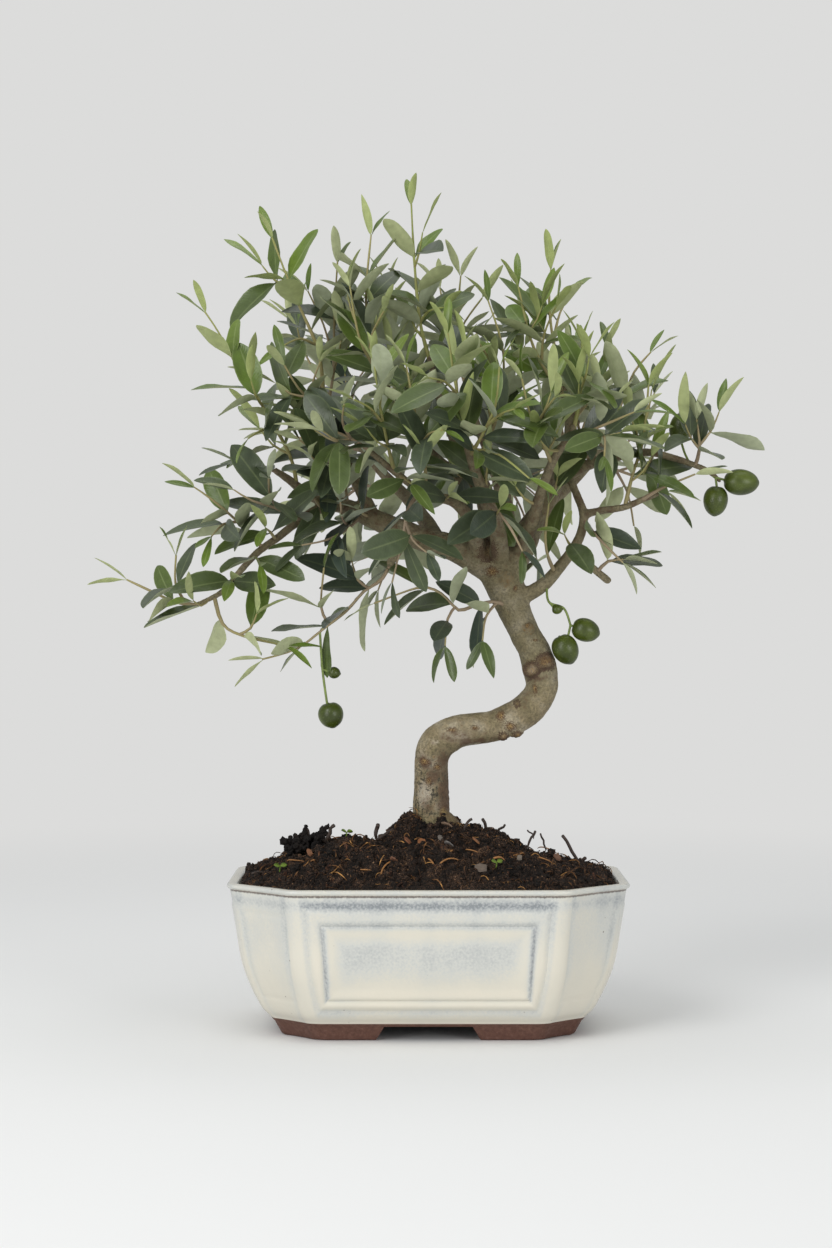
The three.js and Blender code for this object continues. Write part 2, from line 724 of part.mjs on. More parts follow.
// Roots run out and down from the foot of the trunk, inside the soil.
const rootStock = [[2, 0, 96, 13.5], [3, 1, 74, 10], [2, 0, 54, 5]];
const roots = [
  [[6, -3, 119, 6.5], [17, -6, 114, 4.6], [30, -10, 101, 3.6], [52, -20, 80, 2.4]],
  [[-2, -4, 112, 6.5], [-14, -14, 103, 4.4], [-28, -30, 88, 3], [-44, -44, 66, 2]],
  [[0, 5, 112, 6.5], [2, 20, 102, 4.4], [6, 38, 84, 3], [10, 52, 60, 2]],
];

function woodTube(line, sides, extra) {
  const centres = line.map(([x, y, z]) => vec(x, y, z));
  return tube(centres, line.map(([, , , radius]) => radius + extra), sides);
}

// The whole of the wood, grown outwards by extra.
function wood(extra = 0) {
  const knot = ([x, y, z, radius]) =>
    ellipsoid({
      centre: [x, y, z],
      axis: [0, 0, 1],
      length: 2 * (radius + extra),
      width: 2 * (radius + extra),
      sides: 5,
      bands: 2,
    });
  return joined([
    ...Object.values(limbs).map((line) => woodTube(line, sidesOf(line), extra)),
    ...[rootStock, ...roots].map((line) => woodTube(line, 4, extra)),
    ...knots.map(knot),
  ]);
}

// ---------------------------------------------------------------- soil

function soilHeight(x, y) {
  const lengthwise = Math.abs(x) / (pot.halfLength - pot.wall);
  const across = Math.abs(y) / (pot.halfDepth - pot.wall);
  const out = Math.min(1, Math.cbrt(lengthwise ** 3 + across ** 3));
  const fromTrunk = Math.hypot(x - soil.trunkX, y) / soil.collarSpread;
  const heap = soil.collar * Math.exp(-fromTrunk * fromTrunk);
  const lumps = Math.sin(x / 5.1 + 1.3 * Math.sin(y / 7.7)) + Math.sin(y / 4.3 + 1.7 * Math.sin(x / 6.1));
  return soil.rimHeight + soil.rise * (1 - out ** 2.2) + heap + lumps * (1.3 - 0.9 * out);
}

function soilClods() {
  const random = seeded(11);
  const clods = Array.from({ length: 7 }, () => {
    const angle = 2 * Math.PI * random();
    const reach = 0.3 + 0.6 * random();
    return [95 * reach * Math.cos(angle), 66 * reach * Math.sin(angle), 4 + 5 * random()];
  });
  const heap = [[-80, -8, 12], [-68, -10, 10], [-74, 0, 13]]; // a clump of dark peat on the left
  return [...clods, ...heap].map(([x, y, size]) =>
    ellipsoid({
      centre: [x, y, soilHeight(x, y) + 0.15 * size],
      axis: [random() - 0.5, random() - 0.5, 0.5],
      length: size * (0.7 + 0.4 * random()),
      width: size * (0.9 + 0.5 * random()),
      sides: 4,
      bands: 2,
    }),
  );
}

// A mound wider than the pot, kept only inside the pot's hollow.
function soilSolid() {
  const brim = outline(pot.inside[0][1] - pot.wall);
  const spokes = Array.from({ length: soil.spokes }, (_, k) => {
    const angle = (2 * Math.PI * (k + 0.5)) / soil.spokes;
    const cos = Math.cos(angle);
    const sin = Math.sin(angle);
    const cornerReach = (brim.x + brim.y - brim.cut) / (Math.abs(cos) + Math.abs(sin));
    const reach = Math.min(brim.x / Math.abs(cos), brim.y / Math.abs(sin), cornerReach);
    return [reach * cos, reach * sin];
  });
  const ring = (share, heightAt) =>
    spokes.map(([x, y]) => vec(share * x, share * y, heightAt(share * x, share * y)));
  const mound = loft([ring(1, () => 0), ...soil.rings.map((share) => ring(share, soilHeight))]);
  const top = pot.height + soil.rise + soil.collar;
  const levels = [[pot.floorTop + gap, pot.inside.at(-1)[1]], ...pot.inside.toReversed().slice(1)];
  const room = loft([...levels, [top, pot.inside[0][1]]].map(([z, inset]) => potRing(z, inset + 2 * gap)));
  const screenRooms = drainCentres.map((x) => {
    const side = drain.screenSize + 2 * gap;
    const space = new THREE.BoxGeometry(side, side, 2 * (drain.screenThickness + gap));
    return solidOfGeometry(space.translate(x, 0, pot.floorTop + gap));
  });
  const heap = joined([mound.intersect(room), ...soilClods()]);
  return mainBody(heap.subtract(wood(gap)).subtract(joined(screenRooms)));
}

// ---------------------------------------------------------------- shoots

// Points of a smooth curve through the given ones.
function smoothPath(points) {
  const step = 24; // about how far apart the points lie
  const through = points.map((p) => vec(...p));
  const path = [through[0]];
  for (let i = 0; i + 1 < through.length; i++) {
    const p1 = through[i];
    const p2 = through[i + 1];
    const p0 = through[i - 1] ?? p1;
    const p3 = through[i + 2] ?? p2;
    const pieces = Math.max(1, Math.round(p1.distanceTo(p2) / step));
    for (let k = 1; k <= pieces; k++) {
      const t = k / pieces;
      const point = vec(0, 0, 0)
        .addScaledVector(p0, -0.5 * t + t * t - 0.5 * t ** 3)
        .addScaledVector(p1, 1 - 2.5 * t * t + 1.5 * t ** 3)
        .addScaledVector(p2, 0.5 * t + 2 * t * t - 1.5 * t ** 3)
        .addScaledVector(p3, -0.5 * t * t + 0.5 * t ** 3);
      path.push(point);
    }
  }
  return path;
}

const pathLength = (path) => path.slice(1).reduce((sum, p, i) => sum + p.distanceTo(path[i]), 0);

// The point at a distance along a path, and the way ahead there.
function along(path, distance) {
  let left = distance;
  for (let i = 1; i < path.length; i++) {
    const piece = path[i].distanceTo(path[i - 1]);
    if (left <= piece || i === path.length - 1) {
      const ahead = path[i].clone().sub(path[i - 1]).normalize();
      return { point: path[i - 1].clone().addScaledVector(ahead, left), ahead };
    }
    left -= piece;
  }
}

// A spray's shoots: its own path, and one bowed path for each side shoot.
function shootPaths({ path, sides }) {
  const main = smoothPath(path);
  const mainLength = pathLength(main);
  const branches = sides.map(([share, tip]) => {
    const { point, ahead } = along(main, share * mainLength);
    const end = vec(...tip);
    const middle = point.clone().lerp(end, 0.4);
    middle.addScaledVector(ahead, 0.12 * point.distanceTo(end));
    return smoothPath([point, middle, end].map((p) => p.toArray()));
  });
  return [main, ...branches];
}

const twigRadius = { base: 1.5, tip: 0.75 };

function twig(path, extra = 0) {
  const radii = path.map((_, i) => {
    const share = i / (path.length - 1);
    return twigRadius.base + (twigRadius.tip - twigRadius.base) * share + extra;
  });
  return tube(path, radii, 3);
}

// ---------------------------------------------------------------- leaves

// Leaves stand in opposite pairs, each pair turned a quarter from the last, with a small pair at the
// tip. The place of a leaf depends on turn, in degrees, which swings it round its shoot. Every other
// leaf is kept, and the tip's pair.
function leavesOf(path, young, seed, isMain) {
  const random = seeded(seed);
  const around = (spread) => spread * (2 * random() - 1);
  const between = ([least, most]) => least + (most - least) * random();
  const { degToRad } = THREE.MathUtils;
  const length = pathLength(path);
  const bare = Math.max(leaf.bareLeast, leaf.bareStem * length);
  const pairs = Math.max(2, Math.round((length - bare) / (leaf.internode + leaf.youngInternode * young)));
  const phase = 360 * random();
  const leaves = [];
  for (let pair = 0; pair < pairs; pair++) {
    const last = pair === pairs - 1;
    const share = pair / (pairs - 1);
    const { point, ahead } = along(path, bare + (length - bare) * (last ? 0.985 : (pair + 0.35) / pairs));
    const across = Math.abs(ahead.z) < 0.95 ? ahead.clone().cross(up).normalize() : vec(1, 0, 0);
    const over = across.clone().cross(ahead).normalize();
    for (let side = 0; side < 2; side++) {
      const azimuth = phase + 90 * pair + 180 * side + around(leaf.azimuthSpread);
      const sharp = leaf.tipPair.opening + around(leaf.openingSpread / 2);
      const wide = leaf.opening[0] - leaf.opening[1] * share + 2 * (sharp - leaf.tipPair.opening);
      const opening = degToRad(last ? sharp : wide);
      const grown = last ? leaf.tipPair.length : leaf.shrink[0] - leaf.shrink[1] * share;
      const size = leaf.length * between(leaf.lengthSpread) * grown;
      const width = size * leaf.widthShare * between(leaf.widthSpread) * (last ? leaf.tipPair.width : 1);
      const roll = degToRad(around(leaf.rollSpread));
      const arch = between(leaf.arch);
      const droop = leaf.droop * (1 - young) * random();
      const place = (turn) => {
        const angle = degToRad(azimuth + turn);
        const axis = ahead
          .clone()
          .multiplyScalar(Math.cos(opening))
          .addScaledVector(across, Math.sin(opening) * Math.cos(angle))
          .addScaledVector(over, Math.sin(opening) * Math.sin(angle))
          .addScaledVector(up, -droop)
          .normalize();
        const normal = ahead.clone().multiplyScalar(0.55).addScaledVector(up, 0.65);
        normal.addScaledVector(axis, -normal.dot(axis)).normalize().applyAxisAngle(axis, roll);
        return { base: point, axis, normal, size, width, arch, small: last };
      };
      const kept = last ? isMain || side === 0 : (pair + side) % 2 === 0;
      if (kept) leaves.push(place);
    }
  }
  return leaves;
}

// Stations along a blade: how far from its base, and its share of the full width.
const bladeStations = [[0.27, 0.76], [0.54, 1], [0.81, 0.68]];
const smallBladeStations = [[0.36, 0.94], [0.72, 0.8]];

// A pointed blade with a keel under its midrib. Each station has its left edge, its keel and its right
// edge, so the two faces never share a plane and stay apart where the blade is bent.
function blade({ base, axis, normal, size, width, arch, small }, from = 0, extra = 0) {
  const left = normal.clone().cross(axis);
  const centre = (t) =>
    base
      .clone()
      .addScaledVector(axis, t * size)
      .addScaledVector(normal, -arch * t * t * size);
  const rings = (small ? smallBladeStations : bladeStations).map(([t, share]) => {
    const middle = centre(t).addScaledVector(normal, extra);
    const half = (share * width) / 2 + extra;
    const keel = leaf.thickness + 2 * extra;
    return [
      middle.clone().addScaledVector(left, -half),
      middle.clone().addScaledVector(normal, -keel),
      middle.clone().addScaledVector(left, half),
    ];
  });
  return loft([[centre(from)], ...rings, [centre(1)]]);
}

// Everything placed so far, each with its box and the spray that it belongs to.
class Crowd {
  constructor() {
    this.members = [];
  }

  add(solid, owner) {
    this.members.push({ solid, owner, box: solid.boundingBox() });
  }

  // Whether a solid meets any member that test picks.
  meets(solid, test) {
    const box = solid.boundingBox();
    const apart = (other) => [0, 1, 2].some((k) => other.min[k] > box.max[k] || other.max[k] < box.min[k]);
    return this.members.some((member) => {
      if (!test(member) || apart(member.box)) return false;
      const shared = member.solid.intersect(solid);
      const found = !shared.isEmpty();
      shared.delete();
      return found;
    });
  }
}

const turns = [0, 24, -24, 48, -48];

// The sprays' solids, by name. A leaf that would cross another piece is turned about its shoot, and
// left out where no turn clears it.
function spraySolids(shoots, woodRoom, fruit) {
  const crowd = new Crowd();
  crowd.add(woodRoom, "wood");
  fruit.forEach((solid) => crowd.add(solid, "fruit"));
  shoots.forEach(([name, paths]) => paths.forEach((path) => crowd.add(twig(path, gap), name)));
  const solids = new Map();
  let seed = 1;
  for (const [name, paths] of shoots) {
    const parts = paths.map((path) => twig(path));
    for (const path of paths) {
      seed += 1;
      for (const place of leavesOf(path, sprays[name].young, 7919 * seed, path === paths[0])) {
        const clear = turns.map(place).find((spot) => {
          const whole = blade(spot, 0, gap / 2);
          const outer = blade(spot, 0.2, gap / 2);
          const free =
            !crowd.meets(whole, ({ owner }) => owner !== name) &&
            !crowd.meets(outer, ({ owner }) => owner === name);
          whole.delete();
          outer.delete();
          return free;
        });
        if (!clear) continue;
        const solid = blade(clear);
        crowd.add(solid, name);
        parts.push(solid);
      }
    }
    solids.set(name, mainBody(joined(parts).subtract(woodRoom)));
  }
  return solids;
}

// ---------------------------------------------------------------- olives

function bunchSolid({ stalks, olives }, room) {
  const stalkRadius = 0.8;
  const lines = stalks.map((line) => {
    const centres = line.map((p) => vec(...p));
    return tube(centres, centres.map(() => stalkRadius), 3);
  });
  return mainBody(joined([...lines, ...olives.map(ellipsoid)]).subtract(room));
}

// ---------------------------------------------------------------- the bonsai

function named(name, solid, color, roughness) {
  const material = new THREE.MeshStandardMaterial({ color, roughness, metalness: 0 });
  const mesh = new THREE.Mesh(geometryOf(solid), material);
  mesh.name = name;
  return mesh;
}

const bonsai = new THREE.Group();

const holder = new THREE.Group();
holder.add(named("pot", potSolid(), colours.glaze, 0.3));
holder.add(named("drain_screen_left", drainScreen(drainCentres[0]), colours.screen, 0.6));
holder.add(named("drain_screen_right", drainScreen(drainCentres[1]), colours.screen, 0.6));
holder.add(named("soil", soilSolid(), colours.soil, 0.95));

const tree = new THREE.Group();
tree.add(named("trunk_and_limbs", wood(), colours.bark, 0.85));

const woodRoom = wood(gap);
const shoots = Object.entries(sprays).map(([name, spray]) => [name, shootPaths(spray)]);
const twigRoom = joined(shoots.flatMap(([, paths]) => paths.map((path) => twig(path, gap))));
const growthRoom = woodRoom.add(twigRoom);
const olivesByName = Object.entries(bunches).map(([name, bunch]) => [name, bunchSolid(bunch, growthRoom)]);
for (const [name, solid] of olivesByName) {
  tree.add(named("olives_" + name, solid, colours.fruit, 0.45));
}
const fruit = olivesByName.map(([, solid]) => solid);
for (const [name, solid] of spraySolids(shoots, woodRoom, fruit)) {
  const color = new THREE.Color(colours.oldLeaf).lerp(new THREE.Color(colours.youngLeaf), sprays[name].young);
  tree.add(named("spray_" + name, solid, color, 0.5));
}

bonsai.add(holder, tree);

// The origin is under the middle of the whole object, on the ground.
const bounds = new THREE.Box3().setFromObject(bonsai);
const middle = bounds.getCenter(vec(0, 0, 0));
bonsai.position.set(-middle.x, -middle.y, -bounds.min.z);

export default bonsai;
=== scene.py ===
# %% [markdown]
# # An olive bonsai in a glazed pot
#
# The object is a small olive tree about half a metre high. It stands in a low eight-sided stoneware
# pot with a cream glaze, bare clay feet and a heap of dark potting peat. The solid parts come from a
# fixed frame made in CAD; this lesson dresses them: it makes finer pieces of the same form, and adds
# what the solids leave out, such as veins, bark scars, crumbs of peat and the pooling of the glaze.

# %% Load the frame
import json
import math

import bmesh
import bpy
import numpy as np
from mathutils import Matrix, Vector, kdtree, noise
from mathutils.bvhtree import BVHTree

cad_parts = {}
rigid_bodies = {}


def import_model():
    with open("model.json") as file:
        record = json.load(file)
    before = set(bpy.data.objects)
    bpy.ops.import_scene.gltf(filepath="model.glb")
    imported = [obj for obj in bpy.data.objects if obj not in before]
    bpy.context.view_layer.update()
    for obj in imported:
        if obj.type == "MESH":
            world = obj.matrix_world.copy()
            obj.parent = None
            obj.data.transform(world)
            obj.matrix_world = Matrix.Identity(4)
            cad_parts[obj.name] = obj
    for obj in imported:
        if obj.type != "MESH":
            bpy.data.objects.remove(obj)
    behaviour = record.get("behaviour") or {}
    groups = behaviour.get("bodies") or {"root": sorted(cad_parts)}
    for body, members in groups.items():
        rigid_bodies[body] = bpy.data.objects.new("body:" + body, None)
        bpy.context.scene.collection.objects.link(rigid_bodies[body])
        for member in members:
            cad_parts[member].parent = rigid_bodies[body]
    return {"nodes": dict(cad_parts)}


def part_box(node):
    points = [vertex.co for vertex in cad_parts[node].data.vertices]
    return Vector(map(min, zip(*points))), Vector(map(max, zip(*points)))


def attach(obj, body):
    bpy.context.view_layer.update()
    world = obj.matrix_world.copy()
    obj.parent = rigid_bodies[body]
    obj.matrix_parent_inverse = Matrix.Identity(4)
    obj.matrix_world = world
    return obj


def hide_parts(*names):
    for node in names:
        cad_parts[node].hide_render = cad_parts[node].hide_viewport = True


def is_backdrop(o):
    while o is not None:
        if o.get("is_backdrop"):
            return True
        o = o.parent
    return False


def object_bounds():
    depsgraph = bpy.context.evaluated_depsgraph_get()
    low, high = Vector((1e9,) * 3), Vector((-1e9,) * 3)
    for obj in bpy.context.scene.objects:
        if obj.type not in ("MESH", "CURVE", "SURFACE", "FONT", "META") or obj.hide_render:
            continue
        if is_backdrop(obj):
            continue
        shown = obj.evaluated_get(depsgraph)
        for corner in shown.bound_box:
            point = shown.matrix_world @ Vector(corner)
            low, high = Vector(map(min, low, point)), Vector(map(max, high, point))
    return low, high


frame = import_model()
size_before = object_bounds()
print("frame:", len(frame["nodes"]), "nodes,", [round(v, 4) for v in size_before[1] - size_before[0]], "m")

# %% [markdown]
# Lengths below are in millimetres, because a plant is easier to think of that way. The pot's middle
# is the zero of these lengths along X and Y, and the ground is the zero of Z. The frame has its own
# origin, so one function moves a point into the frame's metres. Noise gets a fixed seed, because
# without one its vectors would differ from run to run.

# %% Units and place
MM = 0.001
NOISE_SEED = 1795502872
noise.seed_set(NOISE_SEED)
pot_low, pot_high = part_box("pot")
ORIGIN = np.array([(pot_low.x + pot_high.x) / 2, (pot_low.y + pot_high.y) / 2, 0.0])


def in_frame(points):
    """Millimetres from the pot's middle, as metres in the frame."""
    return np.asarray(points, float) * MM + ORIGIN


print("pot middle at", ORIGIN.round(5))

# %% [markdown]
# A few small tools serve all pieces. One turns an sRGB hex value to the linear colour that shaders
# work in. One adds a node to any tree with its settings and its links, so that each material and
# each Geometry Nodes tree below reads as a list. The inputs 1 to 4 of a Map Range node are the range
# it reads and the range it gives. Inputs 6 and 7 of a Mix node are its two colours, and 2 and 3 its
# two numbers. The scale of a noise is one over the size of its features in metres.

# %% Colours and nodes


def linear(code):
    """The linear colour of an sRGB hex value."""
    parts = [int(code[i : i + 2], 16) / 255 for i in (1, 3, 5)]
    return tuple(p / 12.92 if p <= 0.04045 else ((p + 0.055) / 1.055) ** 2.4 for p in parts) + (1.0,)


def add(tree, kind, inputs=None, stops=None, **settings):
    """Adds a node. inputs maps a socket's name or number to a value, a hex colour, a node or a socket.

    Where a node is given, its first output in use is meant.
    """
    made = tree.nodes.new(kind)
    for name, value in settings.items():
        setattr(made, name, value)
    for key, value in (inputs or {}).items():
        if isinstance(value, bpy.types.Node):
            value = next(socket for socket in value.outputs if socket.enabled)
        if isinstance(value, bpy.types.NodeSocket):
            tree.links.new(value, made.inputs[key])
        elif isinstance(value, str) and value.startswith("#"):
            made.inputs[key].default_value = linear(value)
        else:
            made.inputs[key].default_value = value
    if stops:
        ramp = made.color_ramp.elements
        ramp.remove(ramp[1])
        for i, (position, code) in enumerate(stops):
            element = ramp.new(position) if i else ramp[0]
            element.position, element.color = position, linear(code)
    return made


def new_material(name):
    """A material whose tree is empty, and that tree."""
    made = bpy.data.materials.new(name)
    made.use_nodes = True
    made.node_tree.nodes.clear()
    return made, made.node_tree


def with_skin(made, settings):
    """Closes a material with one surface that has the given settings."""
    skin = add(made.node_tree, "ShaderNodeBsdfPrincipled", settings)
    add(made.node_tree, "ShaderNodeOutputMaterial", {"Surface": skin})
    return made


print("the grey #808080 is", round(linear("#808080")[0], 3), "in linear light")

# %% [markdown]
# The others make meshes from lists of points and faces, join such lists, apply modifiers, and store
# numbers on a mesh for its material to read. The last one hands a finished piece over.

# %% Meshes


def mesh_object(name, points, faces, materials=(), edges=(), smooth=True):
    """A mesh object at the origin, from points in metres."""
    mesh = bpy.data.meshes.new(name)
    mesh.from_pydata([tuple(p) for p in points], list(edges), faces)
    for material in materials:
        mesh.materials.append(material)
    if smooth and faces:
        mesh.shade_smooth()
    made = bpy.data.objects.new(name, mesh)
    bpy.context.scene.collection.objects.link(made)
    return made


def wall_faces(rows, count, start=0):
    """The faces between rings of count points each, where point number start is the first."""
    return [
        (
            start + i + k, start + i + (k + 1) % count, start + i + (k + 1) % count + count,
            start + i + k + count,
        )
        for i in range(0, (rows - 1) * count, count)
        for k in range(count)
    ]


def closed_wall(rows, count):
    """The faces between rings, and one across each open end."""
    first, last = range(count), range((rows - 1) * count, rows * count)
    return [*wall_faces(rows, count), tuple(reversed(first)), tuple(last)]


def circle(count):
    """Cosine and sine of evenly spaced turns, once round."""
    angles = [2 * math.pi * k / count for k in range(count)]
    return [(math.cos(angle), math.sin(angle)) for angle in angles]


def join_on(points, faces, more_points, more_faces):
    """Adds a second list of points and of faces to the first."""
    start = len(points)
    points.extend(more_points)
    faces.extend(tuple(start + i for i in face) for face in more_faces)


def baked(piece):
    """Applies all modifiers of a piece to its mesh."""
    bpy.context.view_layer.update()
    mesh = bpy.data.meshes.new_from_object(piece.evaluated_get(bpy.context.evaluated_depsgraph_get()))
    piece.modifiers.clear()
    piece.data = mesh
    return mesh


def give_attribute(mesh, name, values, domain="POINT"):
    """Stores a number, or a vector of three, on each point or face."""
    values = np.asarray(values, np.float32)
    kind, field = ("FLOAT", "value") if values.ndim == 1 else ("FLOAT_VECTOR", "vector")
    mesh.attributes.new(name, kind, domain).data.foreach_set(field, values.ravel())


def triangles(mesh):
    """How many triangles a mesh makes."""
    return sum(len(p.vertices) - 2 for p in mesh.polygons)


def finished(piece, slot_name, *replaced):
    """Hands a finished piece over: it moves with the root body and stands for the named CAD nodes."""
    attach(piece, "root")
    if replaced:
        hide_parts(*replaced)
    print(f"{piece.name}: {triangles(piece.data)} triangles")
    return piece


print("the wall of a box has", len(wall_faces(2, 4)), "faces")

# %% [markdown]
# ## Leaves
#
# An olive leaf is leathery: blue-green and softly shiny above, with a pale midrib and a fine pale
# margin, and covered below with tiny silver scales that make it grey-green and matt. Young leaves are
# yellow-green. One material serves them all. Each leaf carries a number called tone, from 0 for an old
# dark leaf to 1 for a young bright one, raised a little as painted light on leaves at the crown's ends,
# and each face knows whether it is on the underside.

# %% Leaf material

# Colours from the oldest leaf to the youngest.
UPPER_TONES = [(0.0, "#38433a"), (0.2, "#454f3a"), (0.42, "#4e5e2b"), (0.68, "#586e25"), (1.0, "#6b7d37")]
LOWER_TONES = [(0.0, "#979f8a"), (0.2, "#a4ab8c"), (0.5, "#b0b68a"), (0.75, "#a1aa74"), (1.0, "#949f61")]


def leathery_leaf():
    """Olive leaf: waxy upper side with a broad soft sheen, scaly silver underside with almost none."""
    made, tree = new_material("leathery_olive_leaf")
    tone = add(tree, "ShaderNodeAttribute", attribute_name="tone").outputs["Fac"]
    below = add(tree, "ShaderNodeAttribute", attribute_name="underside").outputs["Fac"]
    along = add(tree, "ShaderNodeAttribute", attribute_name="along").outputs["Fac"]
    across = add(tree, "ShaderNodeAttribute", attribute_name="across").outputs["Fac"]
    place = add(tree, "ShaderNodeTexCoord").outputs["Object"]
    upper = add(tree, "ShaderNodeValToRGB", {"Fac": tone}, stops=UPPER_TONES)
    lower = add(tree, "ShaderNodeValToRGB", {"Fac": tone}, stops=LOWER_TONES)
    mottle = add(tree, "ShaderNodeTexNoise", {"Vector": place, "Scale": 1 / 0.004, "Detail": 3.0})
    shade = add(tree, "ShaderNodeMapRange", {"Value": mottle, 1: 0.3, 2: 0.7, 3: 0.88, 4: 1.12})
    side = add(tree, "ShaderNodeMix", {0: below, 6: upper, 7: lower}, data_type="RGBA")
    lit = add(tree, "ShaderNodeVectorMath", {0: side, 1: shade}, operation="MULTIPLY")
    # The midrib and the margin: bands where the distance across the blade is near 0 or near 1.
    from_rib = add(tree, "ShaderNodeMath", {0: across}, operation="ABSOLUTE")
    rib = add(tree, "ShaderNodeMapRange", {"Value": from_rib, 1: 0.02, 2: 0.1, 3: 0.32, 4: 0.0})
    margin = add(tree, "ShaderNodeMapRange", {"Value": from_rib, 1: 0.86, 2: 1.0, 3: 0.0, 4: 0.3})
    fade = add(tree, "ShaderNodeMapRange", {"Value": along, 1: 0.75, 2: 1.0, 3: 1.0, 4: 0.25})
    ribbed = add(tree, "ShaderNodeMath", {0: rib, 1: fade}, operation="MULTIPLY")
    lined = add(tree, "ShaderNodeMath", {0: ribbed, 1: margin}, operation="MAXIMUM")
    # On old leaves rib and margin have nearly the colour of the blade.
    plain = add(tree, "ShaderNodeMapRange", {"Value": tone, 1: 0.1, 2: 0.6, 3: 0.45, 4: 1.0})
    lines = add(tree, "ShaderNodeMath", {0: lined, 1: plain}, operation="MULTIPLY")
    colour = add(tree, "ShaderNodeMix", {0: lines, 6: lit, 7: "#a3b07a"}, data_type="RGBA")
    # Side veins are fine: about 1.5 mm apart, as slanted low ridges that only the light picks out.
    slant = add(tree, "ShaderNodeMath", {0: from_rib, 1: -0.16, 2: along}, operation="MULTIPLY_ADD")
    veins = add(tree, "ShaderNodeMath", {0: slant, 1: 120.0}, operation="MULTIPLY")
    wave = add(tree, "ShaderNodeMath", {0: veins}, operation="SINE")
    relief = add(tree, "ShaderNodeMath", {0: wave, 1: 0.05, 2: mottle}, operation="MULTIPLY_ADD")
    bump = add(tree, "ShaderNodeBump", {"Strength": 0.4, "Distance": 0.0006, "Height": relief})
    gloss = add(tree, "ShaderNodeMapRange", {"Value": below, 1: 0.0, 2: 1.0, 3: 0.3, 4: 0.7})
    return with_skin(made, {"Base Color": colour, "Roughness": gloss, "IOR": 1.46, "Normal": bump})


leaf_skin = leathery_leaf()
print("leaf material:", len(leaf_skin.node_tree.nodes), "nodes")

# %% [markdown]
# The shoots that bear the leaves are yellow-green in their first year and turn grey-brown, so their
# bark takes its colour from a number called age. Thin olive bark is dull.

# %% Shoot material

SHOOT_TONES = [(0.25, "#87964a"), (0.5, "#948b5a"), (0.8, "#93816a"), (1.0, "#82725f")]


def thin_bark():
    """First- and second-year bark: smooth and dull, green at the tip, grey-brown at the foot."""
    made, tree = new_material("thin_shoot_bark")
    age = add(tree, "ShaderNodeAttribute", attribute_name="age").outputs["Fac"]
    place = add(tree, "ShaderNodeTexCoord").outputs["Object"]
    speck = add(tree, "ShaderNodeTexNoise", {"Vector": place, "Scale": 1 / 0.0022, "Detail": 4.0})
    worn = add(tree, "ShaderNodeMath", {0: speck, 1: 0.4, 2: age}, operation="MULTIPLY_ADD")
    colour = add(tree, "ShaderNodeValToRGB", {"Fac": worn}, stops=SHOOT_TONES)
    bump = add(tree, "ShaderNodeBump", {"Strength": 0.5, "Distance": 0.0004, "Height": speck})
    return with_skin(made, {"Base Color": colour, "Roughness": 0.66, "Normal": bump})


shoot_bark = thin_bark()
print("shoot material:", len(shoot_bark.node_tree.nodes), "nodes")

# %% [markdown]
# ## Where the leaves stand
#
# Leaves of an olive grow in opposite pairs, and each pair is turned a quarter from the last. The CAD
# model places its leaves by that rule with seeded random numbers, so the same rule, with the same
# numbers in the same order, gives their places here. The solids hold every second leaf only, turned
# aside where they would have crossed a neighbour. Each leaf of the solids is found again by its tip,
# and the leaves between them are added here.

# %% Shoots of the tree

# How young each is, its line, and where its side shoots leave it and end.

